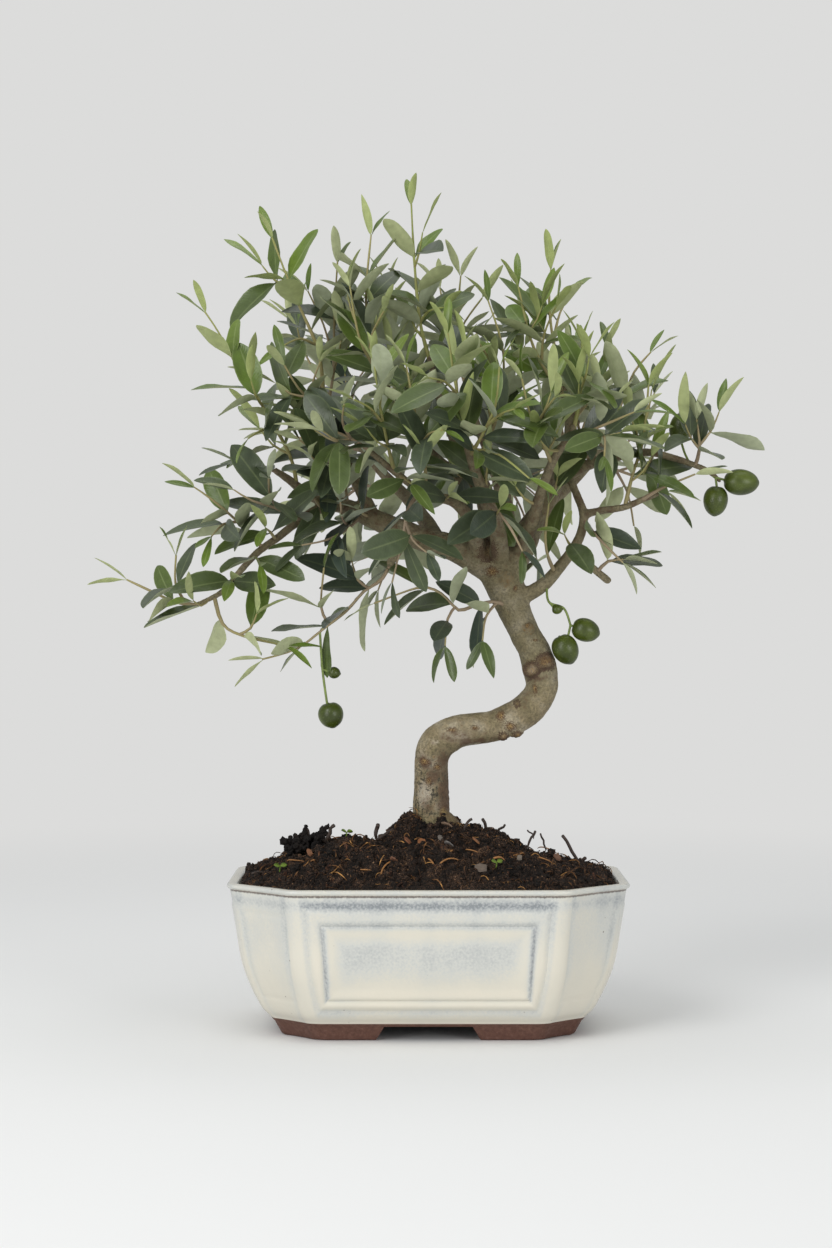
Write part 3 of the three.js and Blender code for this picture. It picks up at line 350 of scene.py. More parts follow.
SPRAYS = {
    "left_tall": (
        0.8,
        [
            (-78, -14, 323), (-82, -22, 341), (-98, -30, 370), (-112, -34, 392), (-123, -36, 412),
            (-131, -36, 424),
        ],
        [(0.3, (-105, -46, 349))],
    ),
    "left_stub": (0.1, [(-88, -19, 330), (-98, -26, 334), (-113, -32, 336)], []),
    "upper_left": (
        0.7, [(-63, 7, 379), (-66, 4, 405), (-78, -4, 433), (-85, -8, 450), (-93, -10, 471)],
        [(0.3, (-85, -28, 405))],
    ),
    "upper_left_front": (
        0.3, [(-55, 2, 354), (-65, -18, 369), (-76, -34, 379), (-84, -42, 392)], [(0.5, (-63, -42, 394))],
    ),
    "upper_left_inner": (
        0.4, [(-61, 5, 369), (-57, 18, 395), (-57, 24, 426), (-55, 26, 461)], [(0.35, (-73, 24, 443))],
    ),
    "left_back_high": (
        0.4, [(-52, 83, 366), (-65, 92, 388), (-79, 96, 414), (-88, 96, 434)], [(0.4, (-62, 114, 423))],
    ),
    "left_back_low": (
        0.2, [(-39, 72, 348), (-59, 95, 354), (-82, 110, 359), (-100, 114, 363)], [(0.4, (-76, 120, 385))],
    ),
    "left_back_mid": (
        0.1, [(-22, 55, 328), (-43, 82, 326), (-66, 104, 323), (-86, 116, 319)], [(0.4, (-70, 102, 298))],
    ),
    "top_leader": (
        0.9, [(1, -3, 398), (-5, -8, 422), (-8, -10, 454), (-9, -10, 470), (-10, -8, 491)],
        [(0.25, (9, -30, 427))],
    ),
    "top_left": (
        0.6, [(-24, 8, 382), (-33, -14, 395), (-41, -28, 411), (-46, -36, 439)],
        [(0.35, (-34, -6, 473)), (0.4, (-26, -46, 423))],
    ),
    "top_mid": (0.6, [(6, 3, 380), (13, 14, 400), (17, 20, 422), (20, 22, 452)], [(0.4, (33, 28, 439))]),
    "top_back": (
        0.5, [(27, 83, 381), (20, 90, 404), (13, 94, 427), (8, 94, 453)], [(0.35, (35, 112, 428))],
    ),
    "top_back_left": (
        0.5, [(-17, 11, 366), (-16, 34, 390), (-19, 48, 413), (-24, 54, 449)], [(0.4, (-3, 68, 431))],
    ),
    "top_back_right": (
        0.4, [(33, 77, 362), (47, 92, 385), (56, 98, 408), (60, 100, 436)], [(0.15, (5, 116, 391))],
    ),
    "shoulder_top": (
        0.7, [(80, 12, 394), (75, 10, 415), (73, 8, 436), (74, 8, 454)], [(0.3, (89, 24, 444))],
    ),
    "shoulder_front": (
        0.7, [(83, 10, 377), (70, -8, 392), (61, -18, 409), (53, -26, 440)], [(0.4, (75, -32, 427))],
    ),
    "shoulder_right": (0.4, [(86, 8, 361), (97, 20, 376), (105, 26, 394), (109, 28, 410)], []),
    "shoulder_inner": (
        0.6, [(25, 14, 336), (36, -4, 351), (43, -18, 374), (44, -28, 402), (35, -34, 431)],
        [(0.5, (27, -46, 408))],
    ),
    "shoulder_back": (
        0.4, [(83, 8, 341), (81, 36, 365), (75, 58, 392), (69, 70, 430)], [(0.45, (95, 82, 415))],
    ),
    "right_high": (
        0.4, [(107, -4, 339), (110, -6, 357), (116, -8, 374), (123, -8, 391), (133, -6, 403)],
        [(0.35, (101, -22, 383))],
    ),
    "right_tall": (
        0.7, [(117, -16, 311), (121, -20, 329), (127, -24, 350), (130, -26, 382)],
        [(0.45, (116, -42, 364))],
    ),
    "right_low": (0.3, [(126, -18, 314), (138, -26, 321), (157, -30, 329)], []),
    "right_end": (0.3, [(159, -11, 335), (161, -18, 345), (159, -20, 362)], []),
    "right_back": (
        0.2, [(102, 65, 342), (119, 80, 337), (138, 92, 331), (153, 96, 324)],
        [(0.15, (144, 92, 386)), (0.4, (139, 112, 351)), (0.35, (131, 92, 302))],
    ),
    "low_right": (0.1, [(93, -7, 303), (98, -18, 295), (106, -24, 286), (115, -26, 277)], []),
    "low_right_tip": (0.2, [(101, -10, 272), (107, -14, 278), (116, -18, 279)], []),
    "low_mid_right": (0.5, [(76, -7, 271), (71, -18, 281), (69, -28, 293), (71, -32, 312)], []),
    "front_centre": (
        0.8, [(20, -63, 351), (17, -72, 370), (14, -78, 386), (11, -80, 407)], [(0.4, (0, -98, 380))],
    ),
    "front_centre_right": (
        0.8, [(24, -58, 338), (32, -74, 352), (38, -84, 366), (40, -88, 387)],
        [(0.4, (48, -104, 362)), (0.1, (57, -88, 324))],
    ),
    "front_right_high": (0.9, [(84, -59, 354), (87, -64, 370), (88, -68, 384), (88, -68, 403)], []),
    "front_right_mid": (
        0.6, [(72, -47, 334), (65, -64, 347), (58, -76, 361), (53, -82, 381)], [(0.4, (71, -98, 369))],
    ),
    "front_right_low": (
        0.4, [(78, -54, 344), (93, -68, 352), (105, -76, 357), (117, -80, 362)], [(0.5, (99, -96, 336))],
    ),
    "front_left_low": (
        0.3, [(-32, -53, 340), (-43, -60, 347), (-54, -64, 352), (-68, -66, 354)], [(0.4, (-48, -86, 366))],
    ),
    "front_left_high": (
        0.8, [(-20, -50, 330), (-24, -62, 347), (-28, -72, 367), (-31, -76, 390)],
        [(0.45, (-42, -94, 368))],
    ),
    "front_mid": (
        0.6, [(-2, -44, 317), (-2, -58, 333), (-6, -70, 353), (-13, -78, 390)], [(0.4, (8, -94, 351))],
    ),
    "front_hanging": (
        0, [(-5, -45, 318), (-12, -56, 307), (-15, -62, 290), (-21, -64, 265)], [(0.4, (-1, -82, 282))],
    ),
    "front_crotch": (0, [(34, -40, 313), (42, -56, 304), (48, -64, 295), (54, -66, 283)], []),
    "lower_left_tip": (
        0.5, [(-136, -32, 252), (-149, -34, 254), (-160, -36, 259), (-177, -36, 267)],
        [(0.15, (-147, -46, 281))],
    ),
    "lower_left_hanging": (
        0.6, [(-126, -29, 257), (-121, -30, 241), (-109, -32, 234), (-83, -36, 228)],
        [(0.5, (-100, -46, 247))],
    ),
    "left_low_outer": (
        0.4, [(-98, -22, 286), (-112, -30, 301), (-127, -36, 314), (-137, -38, 321)],
        [(0.4, (-126, -50, 292))],
    ),
    "left_low_inner": (
        0.1, [(-76, -17, 302), (-90, -36, 309), (-103, -46, 313), (-113, -50, 319)],
        [(0.4, (-92, -64, 325))],
    ),
    "left_front": (
        0.2, [(-62, -8, 314), (-58, -28, 327), (-62, -44, 338), (-75, -52, 348)], [(0.5, (-48, -70, 342))],
    ),
    "left_under": (
        0, [(-39, -7, 306), (-49, -25, 296), (-60, -38, 290), (-74, -44, 287)], [(0.3, (-51, -54, 312))],
    ),
    "drooping": (
        0.3,
        [
            (-12, -9, 294), (-19, -14, 284), (-27, -18, 268), (-38, -20, 260), (-49, -22, 248),
            (-63, -24, 237), (-78, -26, 226), (-98, -28, 220),
        ],
        [(0.62, (-61, -40, 274)), (0.35, (-45, -34, 278))],
    ),
    "trunk_twig": (
        0.3,
        [
            (50, -4, 251), (38, -12, 254), (26, -16, 251), (18, -18, 249), (11, -20, 256), (4, -20, 261),
            (-7, -20, 262), (-32, -24, 253),
        ],
        [(0.42, (10, -26, 228)), (0.12, (32, -30, 231))],
    ),
    "back_low": (
        0.1, [(-11, 41, 315), (-16, 60, 299), (-24, 70, 280), (-31, 74, 261)], [(0.4, (-44, 90, 280))],
    ),
    "back_left": (0.1, [(40, 68, 343), (27, 95, 344), (10, 114, 339)], [(0.4, (26, 114, 318))]),
    "back_right": (
        0.1, [(45, 57, 325), (58, 85, 331), (76, 107, 339)], [(0.4, (73, 106, 318)), (0.2, (69, 80, 280))],
    ),
    "back_left_high": (
        0.3, [(-41, 74, 350), (-48, 90, 375), (-52, 98, 401), (-50, 100, 432)], [(0.4, (-33, 116, 411))],
    ),
    "back_right_high": (
        0.3, [(101, 65, 341), (96, 85, 362), (92, 96, 385), (90, 98, 414)], [(0.4, (111, 108, 397))],
    ),
}
print("shoots:", len(SPRAYS), "with", sum(len(sides) for _, _, sides in SPRAYS.values()), "side shoots")

# %% Lines of shoots

UP = np.array([0.0, 0.0, 1.0])


def unit(v):
    """A vector's direction, one long."""
    return v / np.linalg.norm(v)


def smooth_line(points, step):
    """Points of a smooth curve through the given ones, about step apart."""
    through = [np.array(p, float) for p in points]
    line = [through[0]]
    for i in range(len(through) - 1):
        p1, p2 = through[i], through[i + 1]
        p0 = through[i - 1] if i else p1
        p3 = through[i + 2] if i + 2 < len(through) else p2
        pieces = max(1, math.floor(np.linalg.norm(p2 - p1) / step + 0.5))
        for k in range(1, pieces + 1):
            t = k / pieces
            line.append(
                p0 * (-0.5 * t + t * t - 0.5 * t**3)
                + p1 * (1 - 2.5 * t * t + 1.5 * t**3)
                + p2 * (0.5 * t + 2 * t * t - 1.5 * t**3)
                + p3 * (-0.5 * t * t + 0.5 * t**3)
            )
    return line


def line_length(line):
    """How long a line of points is."""
    return sum(np.linalg.norm(b - a) for a, b in zip(line, line[1:]))


def along_line(line, distance):
    """The point at a distance along a line, and the way ahead there."""
    left = distance
    for i in range(1, len(line)):
        piece = np.linalg.norm(line[i] - line[i - 1])
        if left <= piece or i == len(line) - 1:
            ahead = unit(line[i] - line[i - 1])
            return line[i - 1] + ahead * left, ahead
        left -= piece


SOLID_STEP = 24.0  # how far apart the points of the solids' shoots lie, in mm


def shoot_lines(path, sides):
    """A spray's main shoot, then one bowed line for each side shoot, as control points."""
    main = smooth_line(path, SOLID_STEP)
    lines = [path]
    for share, tip in sides:
        point, ahead = along_line(main, share * line_length(main))
        end = np.array(tip, float)
        middle = point + (end - point) * 0.4 + ahead * 0.12 * np.linalg.norm(end - point)
        lines.append([tuple(point), tuple(middle), tuple(end)])
    return lines


longest = max(line_length(smooth_line(path, SOLID_STEP)) for _, path, _ in SPRAYS.values())
print("longest main shoot:", round(longest), "mm")

# %% Seeded draws




class Draws:
    """Numbers from 0 to 1 in a fixed order, the same as the solids were made with."""

    def __init__(self, seed):
        self.state = seed

    def next(self):
        self.state = (self.state * 1664525 + 1013904223) % 4294967296
        return self.state / 4294967296

    def around(self, spread):
        return spread * (2 * self.next() - 1)

    def between(self, least, most):
        return least + (most - least) * self.next()


first_draws = Draws(1)
print("first draws:", [round(first_draws.next(), 3) for _ in range(3)])

# %% [markdown]
# A pair of leaves stands about every 17 mm, the first a little way up from the shoot's foot. The
# lower pairs spread wide, and the last pair hugs the tip. Each leaf also rolls about its own axis,
# arches and droops by drawn amounts.

# %% The rule for the leaves

LEAF_LENGTH = 34.0
LEAF_WIDTH_SHARE = 0.37
INTERNODE = 17.0


def turned(v, axis, angle):
    """v turned about a unit axis."""
    c, s = math.cos(angle), math.sin(angle)
    return v * c + np.cross(axis, v) * s + axis * np.dot(axis, v) * (1 - c)


def leaf_places(line, young, seed, is_main):
    """One function per leaf, which gives its place for a turn about the shoot, with what it is."""
    draws = Draws(seed)
    length = line_length(line)
    bare = max(7, 0.16 * length)
    pairs = max(2, math.floor((length - bare) / (INTERNODE + 1.5 * young) + 0.5))
    phase = 360 * draws.next()
    leaves = []
    for pair in range(pairs):
        last = pair == pairs - 1
        share = pair / (pairs - 1)
        point, ahead = along_line(line, bare + (length - bare) * (0.985 if last else (pair + 0.35) / pairs))
        across = unit(np.cross(ahead, UP)) if abs(ahead[2]) < 0.95 else np.array([1.0, 0, 0])
        over = unit(np.cross(across, ahead))
        for side in range(2):
            azimuth = phase + 90 * pair + 180 * side + draws.around(22)
            sharp = 20 + draws.around(5.5)
            wide = 56 - 18 * share + 2 * (sharp - 20)
            opening = math.radians(sharp if last else wide)
            size = LEAF_LENGTH * draws.between(0.84, 1.14) * (0.66 if last else 1.04 - 0.12 * share)
            width = size * LEAF_WIDTH_SHARE * draws.between(0.86, 1.14) * (0.8 if last else 1)
            roll = math.radians(draws.around(38))
            arch = draws.between(0.02, 0.18)
            droop = 0.22 * (1 - young) * draws.next()
            leaves.append(
                {
                    "point": point, "ahead": ahead, "across": across, "over": over, "azimuth": azimuth,
                    "opening": opening, "size": size, "width": width, "roll": roll, "arch": arch,
                    "droop": droop, "share": share, "last": last,
                    "in_solid": (is_main or side == 0) if last else (pair + side) % 2 == 0,
                }
            )
    return leaves


def leaf_at(leaf, turn):
    """The blade's base, its long axis, the way its upper side faces and its tip, for a turn in degrees."""
    angle = math.radians(leaf["azimuth"] + turn)
    opening = leaf["opening"]
    axis = unit(
        leaf["ahead"] * math.cos(opening)
        + leaf["across"] * math.sin(opening) * math.cos(angle)
        + leaf["over"] * math.sin(opening) * math.sin(angle)
        - UP * leaf["droop"]
    )
    facing = leaf["ahead"] * 0.55 + UP * 0.65
    facing = turned(unit(facing - axis * np.dot(facing, axis)), axis, leaf["roll"])
    tip = leaf["point"] + axis * leaf["size"] - facing * leaf["arch"] * leaf["size"]
    return {"base": leaf["point"], "axis": axis, "facing": facing, "tip": tip}


sample = leaf_places([np.zeros(3), 120 * UP], 0.5, 1, True)
print(
    "a shoot of 120 mm bears", len(sample), "leaves,", sum(leaf["in_solid"] for leaf in sample),
    "in the solids",
)

# %% [markdown]
# ## One blade, many leaves
#
# A leaf here is a thin closed shell of a few dozen faces: narrow at its stalk, with long full sides
# and a small point, and its two halves lifted a little from the midrib. Olive leaves on one tree
# differ: some are slender, some oblong, some broadest towards the tip. Five blades with different
# outlines and waves are enough, because each is stretched, tilted and bent on its own. The blades are
# made along X, one unit long and one unit wide.

# %% Blades

BLADE_STATIONS = [0.0, 0.05, 0.09, 0.15, 0.24, 0.36, 0.5, 0.64, 0.77, 0.87, 0.94, 0.98, 1.0]
BLADE_ACROSS = [-1.0, 0.0, 1.0]
# Fold of the halves, wave of the margins, swing of the tip, fullness of the sides, widest place.
BLADES = [
    (0.3, 0.0, 0.0, 2.1, 0.5), (0.46, 0.1, 0.5, 2.6, 0.52), (0.2, 0.14, -0.6, 2.3, 0.6),
    (0.4, 0.06, 0.9, 1.9, 0.44), (0.26, 0.1, -0.3, 3.0, 0.55),
]


def blade_width(t, fullness, widest):
    """Half width of a blade at t along it, where 0.5 is the most."""
    body = max(0.0, (t - 0.05) / 0.95)
    u = body ** (math.log(0.5) / math.log(widest))
    return 0.045 * (1 - body) + 0.48 * (1 - abs(2 * u - 1) ** fullness) ** 0.82


def blade(name, fold, wave, skew, fullness, widest):
    """A closed blade. fold lifts its halves, wave ripples its margins and skew swings its tip."""
    points, along, across = [], [], []

    def add_point(t, s, layer):
        half = blade_width(t, fullness, widest)
        lift = fold * abs(s) * half + wave * s * half * math.sin(2.6 * math.pi * t + 3 * skew)
        body = 0.03 * (1 - 0.5 * t)  # the shell is thickest at its foot
        points.append((t, s * half + 0.12 * skew * t * t, lift + layer * body))
        along.append(t)
        across.append(s)
        return len(points) - 1

    # Both layers share the margins, the foot and the tip, and lie apart between them.
    upper, lower = [], []
    for t in BLADE_STATIONS[:-1]:
        row = [add_point(t, s, 1 if abs(s) < 1 and t else 0) for s in BLADE_ACROSS]
        upper.append(row)
        lower.append(
            [i if abs(s) == 1 or not t else add_point(t, s, -1) for i, s in zip(row, BLADE_ACROSS)]
        )
    tip = add_point(1.0, 0.0, 0)
    faces, underside = [], []
    for layer, rows in enumerate((upper, lower)):
        for row, ahead in zip(rows, rows[1:]):
            for k in range(len(row) - 1):
                # One diagonal for both layers, so the thin shell never crosses itself.
                for face in ((row[k], ahead[k], ahead[k + 1]), (row[k], ahead[k + 1], row[k + 1])):
                    faces.append(face if layer == 0 else face[::-1])
                    underside.append(float(layer))
        for k in range(len(BLADE_ACROSS) - 1):
            face = (rows[-1][k], tip, rows[-1][k + 1])
            faces.append(face if layer == 0 else face[::-1])
            underside.append(float(layer))
    made = mesh_object(name, points, faces)
    shell = bmesh.new()
    shell.from_mesh(made.data)
    if shell.calc_volume(signed=True) < 0:
        bmesh.ops.reverse_faces(shell, faces=shell.faces)
    shell.to_mesh(made.data)
    shell.free()
    margin = {row[0] for row in upper} | {row[-1] for row in upper} | {tip}
    for edge in made.data.edges:
        ends = edge.vertices
        edge.use_edge_sharp = ends[0] in margin and ends[1] in margin
    give_attribute(made.data, "along", along)
    give_attribute(made.data, "across", across)
    give_attribute(made.data, "underside", underside, "FACE")
    return made


blades = bpy.data.collections.new("blades")
for kind, numbers in enumerate(BLADES):
    made = blade(f"blade_{kind}", *numbers)
    bpy.context.scene.collection.objects.unlink(made)
    blades.objects.link(made)

# %% [markdown]
# A whole spray is grown from a plan: a mesh that has only edges, for the lines of its shoots, and
# loose points, for its leaves. Each point carries the leaf's long axis, the way it faces, its sizes,
# its bend and its tone. A Geometry Nodes tree turns the edges into tapered tubes and sets a blade on
# each point, so one tree serves every spray.

# %% The tree that grows a spray


def new_tree(name, inputs):
    """A Geometry Nodes tree that gives one geometry, with inputs of the given names and kinds."""
    tree = bpy.data.node_groups.new(name, "GeometryNodeTree")
    tree.interface.new_socket("Geometry", in_out="OUTPUT", socket_type="NodeSocketGeometry")
    for title, kind in inputs.items():
        tree.interface.new_socket(title, in_out="INPUT", socket_type="NodeSocket" + kind)
    return tree, add(tree, "NodeGroupInput").outputs


def growing_tree():
    """The tree that grows a spray from its plan."""
    tree, given = new_tree(
        "grow_spray",
        {
            "Plan": "Geometry", "Blades": "Collection", "Leaf skin": "Material", "Shoot bark": "Material",
            "Shoot sides": "Int",
        },
    )

    def stored(name, kind="FLOAT"):
        return add(tree, "GeometryNodeInputNamedAttribute", {"Name": name}, data_type=kind)

    # Shoots: every edge becomes a tube as thick as the plan says.
    lines = add(tree, "GeometryNodeMeshToCurve", {0: given["Plan"]})
    round_section = add(
        tree, "GeometryNodeCurvePrimitiveCircle", {"Resolution": given["Shoot sides"], "Radius": 1.0},
    )
    tubes = add(
        tree, "GeometryNodeCurveToMesh",
        {"Curve": lines, "Profile Curve": round_section, "Scale": stored("thickness"), "Fill Caps": True},
    )
    barked = add(tree, "GeometryNodeSetMaterial", {0: tubes, "Material": given["Shoot bark"]})
    # Leaves: one of the blades on every leaf point, turned to its axis and the way it faces.
    kinds = add(
        tree, "GeometryNodeCollectionInfo",
        {"Collection": given["Blades"], "Separate Children": True, "Reset Children": True},
    )
    turn = add(
        tree, "FunctionNodeAxesToRotation",
        {0: stored("leaf_axis", "FLOAT_VECTOR"), 1: stored("leaf_facing", "FLOAT_VECTOR")},
        primary_axis="X", secondary_axis="Z",
    )
    is_leaf = add(tree, "FunctionNodeCompare", {0: stored("is_leaf"), 1: 0.5}, operation="GREATER_THAN")
    set_out = add(
        tree, "GeometryNodeInstanceOnPoints",
        {
            "Points": given["Plan"], "Selection": is_leaf, "Instance": kinds, "Pick Instance": True,
            "Instance Index": stored("blade_kind", "INT"), "Rotation": turn,
            "Scale": stored("leaf_scale", "FLOAT_VECTOR"),
        },
    )
    leaves = add(tree, "GeometryNodeRealizeInstances", {0: set_out})
    # The bend grows with the square of the way along the blade and leads away from the upper side.
    squared = add(tree, "ShaderNodeMath", {0: stored("along"), 1: 2.0}, operation="POWER")
    shift = add(
        tree, "ShaderNodeVectorMath", {0: stored("leaf_fall", "FLOAT_VECTOR"), "Scale": squared},
        operation="SCALE",
    )
    bent = add(tree, "GeometryNodeSetPosition", {"Geometry": leaves, "Offset": shift})
    skinned = add(tree, "GeometryNodeSetMaterial", {0: bent, "Material": given["Leaf skin"]})
    whole = add(tree, "GeometryNodeJoinGeometry")
    tree.links.new(skinned.outputs[0], whole.inputs[0])
    tree.links.new(barked.outputs[0], whole.inputs[0])
    smooth = add(tree, "GeometryNodeSetShadeSmooth", {0: whole})
    add(tree, "NodeGroupOutput", {0: smooth})
    return tree


spray_tree = growing_tree()
print("tree that grows a spray:", len(spray_tree.nodes), "nodes")

# %% [markdown]
# ## Growing the sprays
#
# Every leaf of the solids keeps the turn it has there, which its tip gives away. A leaf between them
# takes the first turn that keeps it clear of the limbs and of the leaves that already stand. Short
# leafy spurs fill the crown further in, as on any pruned olive.

# %% Which turn a leaf has

TURNS = [0, 24, -24, 48, -48]
MORE_TURNS = [0, 20, -20, 40, -40, 60, -60]
TIP_TOLERANCE = 0.15 * MM
WOOD_GAP = 1.5 * MM


def tips_of(node):
    """A search tree over the corners of a CAD node."""
    mesh = frame["nodes"][node].data
    tree = kdtree.KDTree(len(mesh.vertices))
    for i, vertex in enumerate(mesh.vertices):
        tree.insert(vertex.co, i)
    tree.balance()
    return tree


def turn_in_solid(leaf, corners):
    """The turn at which the solid has this leaf's tip, or None where it was left out."""
    for turn in TURNS:
        tip = in_frame(leaf_at(leaf, turn)["tip"])
        if corners.find(Vector(tip))[2] < TIP_TOLERANCE:
            return turn
    return None


class Room:
    """What already stands: the wood as a surface, and the leaves as points on their blades."""

    def __init__(self, wood_mesh):
        self.wood = BVHTree.FromPolygons(
            [v.co for v in wood_mesh.vertices], [list(p.vertices) for p in wood_mesh.polygons],
        )
        self.points = np.zeros((0, 3))

    def samples(self, leaf, spot):
        """Nine points on a blade: three rows of three."""
        across = np.cross(spot["facing"], spot["axis"]) * leaf["width"] / 2
        bend = spot["facing"] * leaf["arch"] * leaf["size"]
        along = [spot["base"] + spot["axis"] * leaf["size"] * t - bend * t * t for t in (0.35, 0.6, 0.85)]
        return np.array([p + across * s for p in along for s in (-0.7, 0.0, 0.7)])

    def clear(self, leaf, spot, distance):
        """Whether a leaf keeps its distance from the wood and from the leaves that stand."""
        points = self.samples(leaf, spot)
        for point in points[1::3]:
            found = self.wood.find_nearest(Vector(in_frame(point)))
            if found[3] is not None and found[3] < WOOD_GAP:
                return False
        if len(self.points):
            gaps = np.linalg.norm(points[:, None] - self.points[None], axis=2)
            return gaps.min() > distance
        return True

    def fill(self, leaf, spot):
        """Takes the room of a leaf that now stands."""
        self.points = np.vstack([self.points, self.samples(leaf, spot)])


room = Room(frame["nodes"]["trunk_and_limbs"].data)
print("turns tried for a leaf:", *MORE_TURNS)

# %% Plans of the sprays

TWIG_FOOT, TWIG_TIP = 1.25, 0.5  # radii of a shoot, in mm
FINE_STEP = 5.0
# What each point of a plan carries, with its unit of length: single numbers, then vectors.
PLAN_NUMBERS = {"thickness": MM, "age": 1, "tone": 1, "is_leaf": 1}
PLAN_VECTORS = {"leaf_axis": 1, "leaf_facing": 1, "leaf_scale": MM, "leaf_fall": MM}


class Plan:
    """The lines and leaf points of one spray, with the numbers that go with each point."""

    def __init__(self):
        self.points, self.edges, self.rows = [], [], []

    def line(self, points, foot, tip, age):
        """Adds the line of a shoot, with its radii at both ends and the age of its foot."""
        start = len(self.points)
        for i, point in enumerate(points):
            share = i / (len(points) - 1)
            self.points.append(point)
            # Shoots swell a little at every pair of leaves.
            knee = 1 + 0.12 * math.sin(1.1 * i)
            self.rows.append(
                {"thickness": (foot + (tip - foot) * share) * knee, "age": age * (1 - 0.45 * share)}
            )
        self.edges += [(start + i, start + i + 1) for i in range(len(points) - 1)]

    def leaf(self, leaf, spot, tone, kind):
        """Adds the point of a leaf."""
        slim = 0.74 if leaf["last"] and tone > 0.4 else 1.0  # young leaves at a tip are still narrow
        self.points.append(spot["base"])
        self.rows.append(
            {
                "leaf_axis": spot["axis"], "leaf_facing": spot["facing"],
                "leaf_scale": (leaf["size"], leaf["width"] * slim, leaf["width"]),
                "leaf_fall": -spot["facing"] * leaf["arch"] * leaf["size"], "is_leaf": 1.0, "tone": tone,
                "blade_kind": kind,
            }
        )

    def mesh(self, name):
        """The plan as a mesh of edges and loose points."""
        made = mesh_object(name, in_frame(self.points), [], edges=self.edges)
        for key, length in PLAN_NUMBERS.items():
            give_attribute(made.data, key, [row.get(key, 0.0) * length for row in self.rows])
        for key, length in PLAN_VECTORS.items():
            vectors = [np.array(row.get(key, (0.0, 0.0, 0.0))) * length for row in self.rows]
            give_attribute(made.data, key, vectors)
        kinds = made.data.attributes.new("blade_kind", "INT", "POINT")
        kinds.data.foreach_set("value", [row.get("blade_kind", 0) for row in self.rows])
        return made


print("numbers on each point of a plan:", *PLAN_NUMBERS, *PLAN_VECTORS)

# %% [markdown]
# To grow a plan, its object gets the tree as a modifier with the inputs set, and the mesh that comes
# out takes the plan's place. The leaves of the solids are placed first, because they can't give way.

# %% Leaves of the solids


def grow(tree, plan_object, name, inputs):
    """Turns a plan into the plain mesh that a Geometry Nodes tree makes of it."""
    modifier = plan_object.modifiers.new("grow", "NODES")
    modifier.node_group = tree
    for socket in tree.interface.items_tree:
        if socket.in_out == "INPUT" and socket.name in inputs:
            modifier[socket.identifier] = inputs[socket.name]
    baked(plan_object).name = name
    plan_object.name = name
    return plan_object


spray_inputs = {"Blades": blades, "Leaf skin": leaf_skin, "Shoot bark": shoot_bark, "Shoot sides": 8}
seed = 1
counts = {"in solids": 0, "left out there": 0, "added": 0}
places = {}
for name, (young, path, sides) in SPRAYS.items():
    corners = tips_of("spray_" + name)
    places[name] = []
    for i, line in enumerate(shoot_lines(path, sides)):
        seed += 1
        for leaf in leaf_places(smooth_line(line, SOLID_STEP), young, 7919 * seed, i == 0):
            turn = turn_in_solid(leaf, corners) if leaf["in_solid"] else None
            if leaf["in_solid"] and turn is None:
                counts["left out there"] += 1
                continue
            if turn is not None:
                room.fill(leaf, leaf_at(leaf, turn))
                counts["in solids"] += 1
            places[name].append((leaf, turn))
print("leaves found in the solids:", counts["in solids"])

# %% [markdown]
# A spur is a short side twig near a shoot's foot. A leaf turns about its twig until it has room, and
# is left out where it has none or would stand in a clearing. A spur with a single leaf isn't grown.

# %% Spurs

looks = np.random.default_rng(5)
SPUR_ROOM = 2.8  # the least distance of a spur's leaf from other leaves, in mm


def spur_lines(main, count):
    """Short side twigs near the foot of a shoot, each turned on from the last."""
    lines = []
    length = line_length(main)
    for k in range(count):
        point, ahead = along_line(main, length * (0.1 + 0.62 * (k + looks.random()) / count))
        across = unit(np.cross(ahead, UP) + (1e-6, 0, 0))
        over = np.cross(across, ahead)
        angle = 2.4 * k + 6.28 * looks.random()
        way = unit(ahead * 0.8 + across * math.cos(angle) + over * math.sin(angle) + UP * 0.25)
        reach = 15 + 10 * looks.random()
        lines.append(
            [tuple(point), tuple(point + way * reach * 0.5), tuple(point + unit(way + UP * 0.25) * reach)]
        )
    return lines


# Places where light falls through the crown, as x, z and radius: no added leaf crosses them.
CLEARINGS = [
    (-95, 416, 17), (92, 418, 15), (92, 448, 17), (124, 414, 17), (126, 386, 15), (-64, 386, 12),
    (-126, 386, 15), (61, 322, 14), (122, 322, 13), (124, 292, 15), (-2, 414, 10), (-66, 414, 10),
    (70, 414, 10), (30, 408, 9), (-62, 296, 10), (32, 256, 12), (-120, 228, 14), (60, 302, 9),
    (-64, 446, 12), (32, 448, 12), (-34, 416, 8), (-34, 260, 12), (-64, 288, 10), (-128, 352, 16),
    (-102, 352, 9), (-128, 322, 12), (-95, 384, 9), (-7, 484, 8), (58, 446, 9), (-100, 318, 8),
]


def in_clearing(leaf, spot):
    """Whether the middle of a leaf lies in a clearing."""
    middle = spot["base"] + spot["axis"] * leaf["size"] * 0.55
    return any(math.hypot(middle[0] - x, middle[2] - z) < radius for x, z, radius in CLEARINGS)


def leafy_spur(plan, line, youth, draw, foot=0.75):
    """Adds a short twig to a plan, and returns the leaves that find room on it."""
    on_spur = []
    for leaf in leaf_places(smooth_line(line, 6), youth, draw, True):
        leaf["size"] *= 1.35 if leaf["last"] else 1.08
        leaf["width"] *= 1.3 if leaf["last"] else 1.12
        spots = [leaf_at(leaf, other) for other in MORE_TURNS]
        spot = next((s for s in spots if room.clear(leaf, s, SPUR_ROOM)), None)
        if spot is not None and not in_clearing(leaf, spot):
            room.fill(leaf, spot)
            on_spur.append((leaf, spot, min(1.0, youth + 0.1)))
    if len(on_spur) < 2:
        return []
    plan.line(smooth_line(line, FINE_STEP), foot, 0.45, 0.7 - 0.5 * youth)
    return on_spur


print("clearings kept open:", len(CLEARINGS))
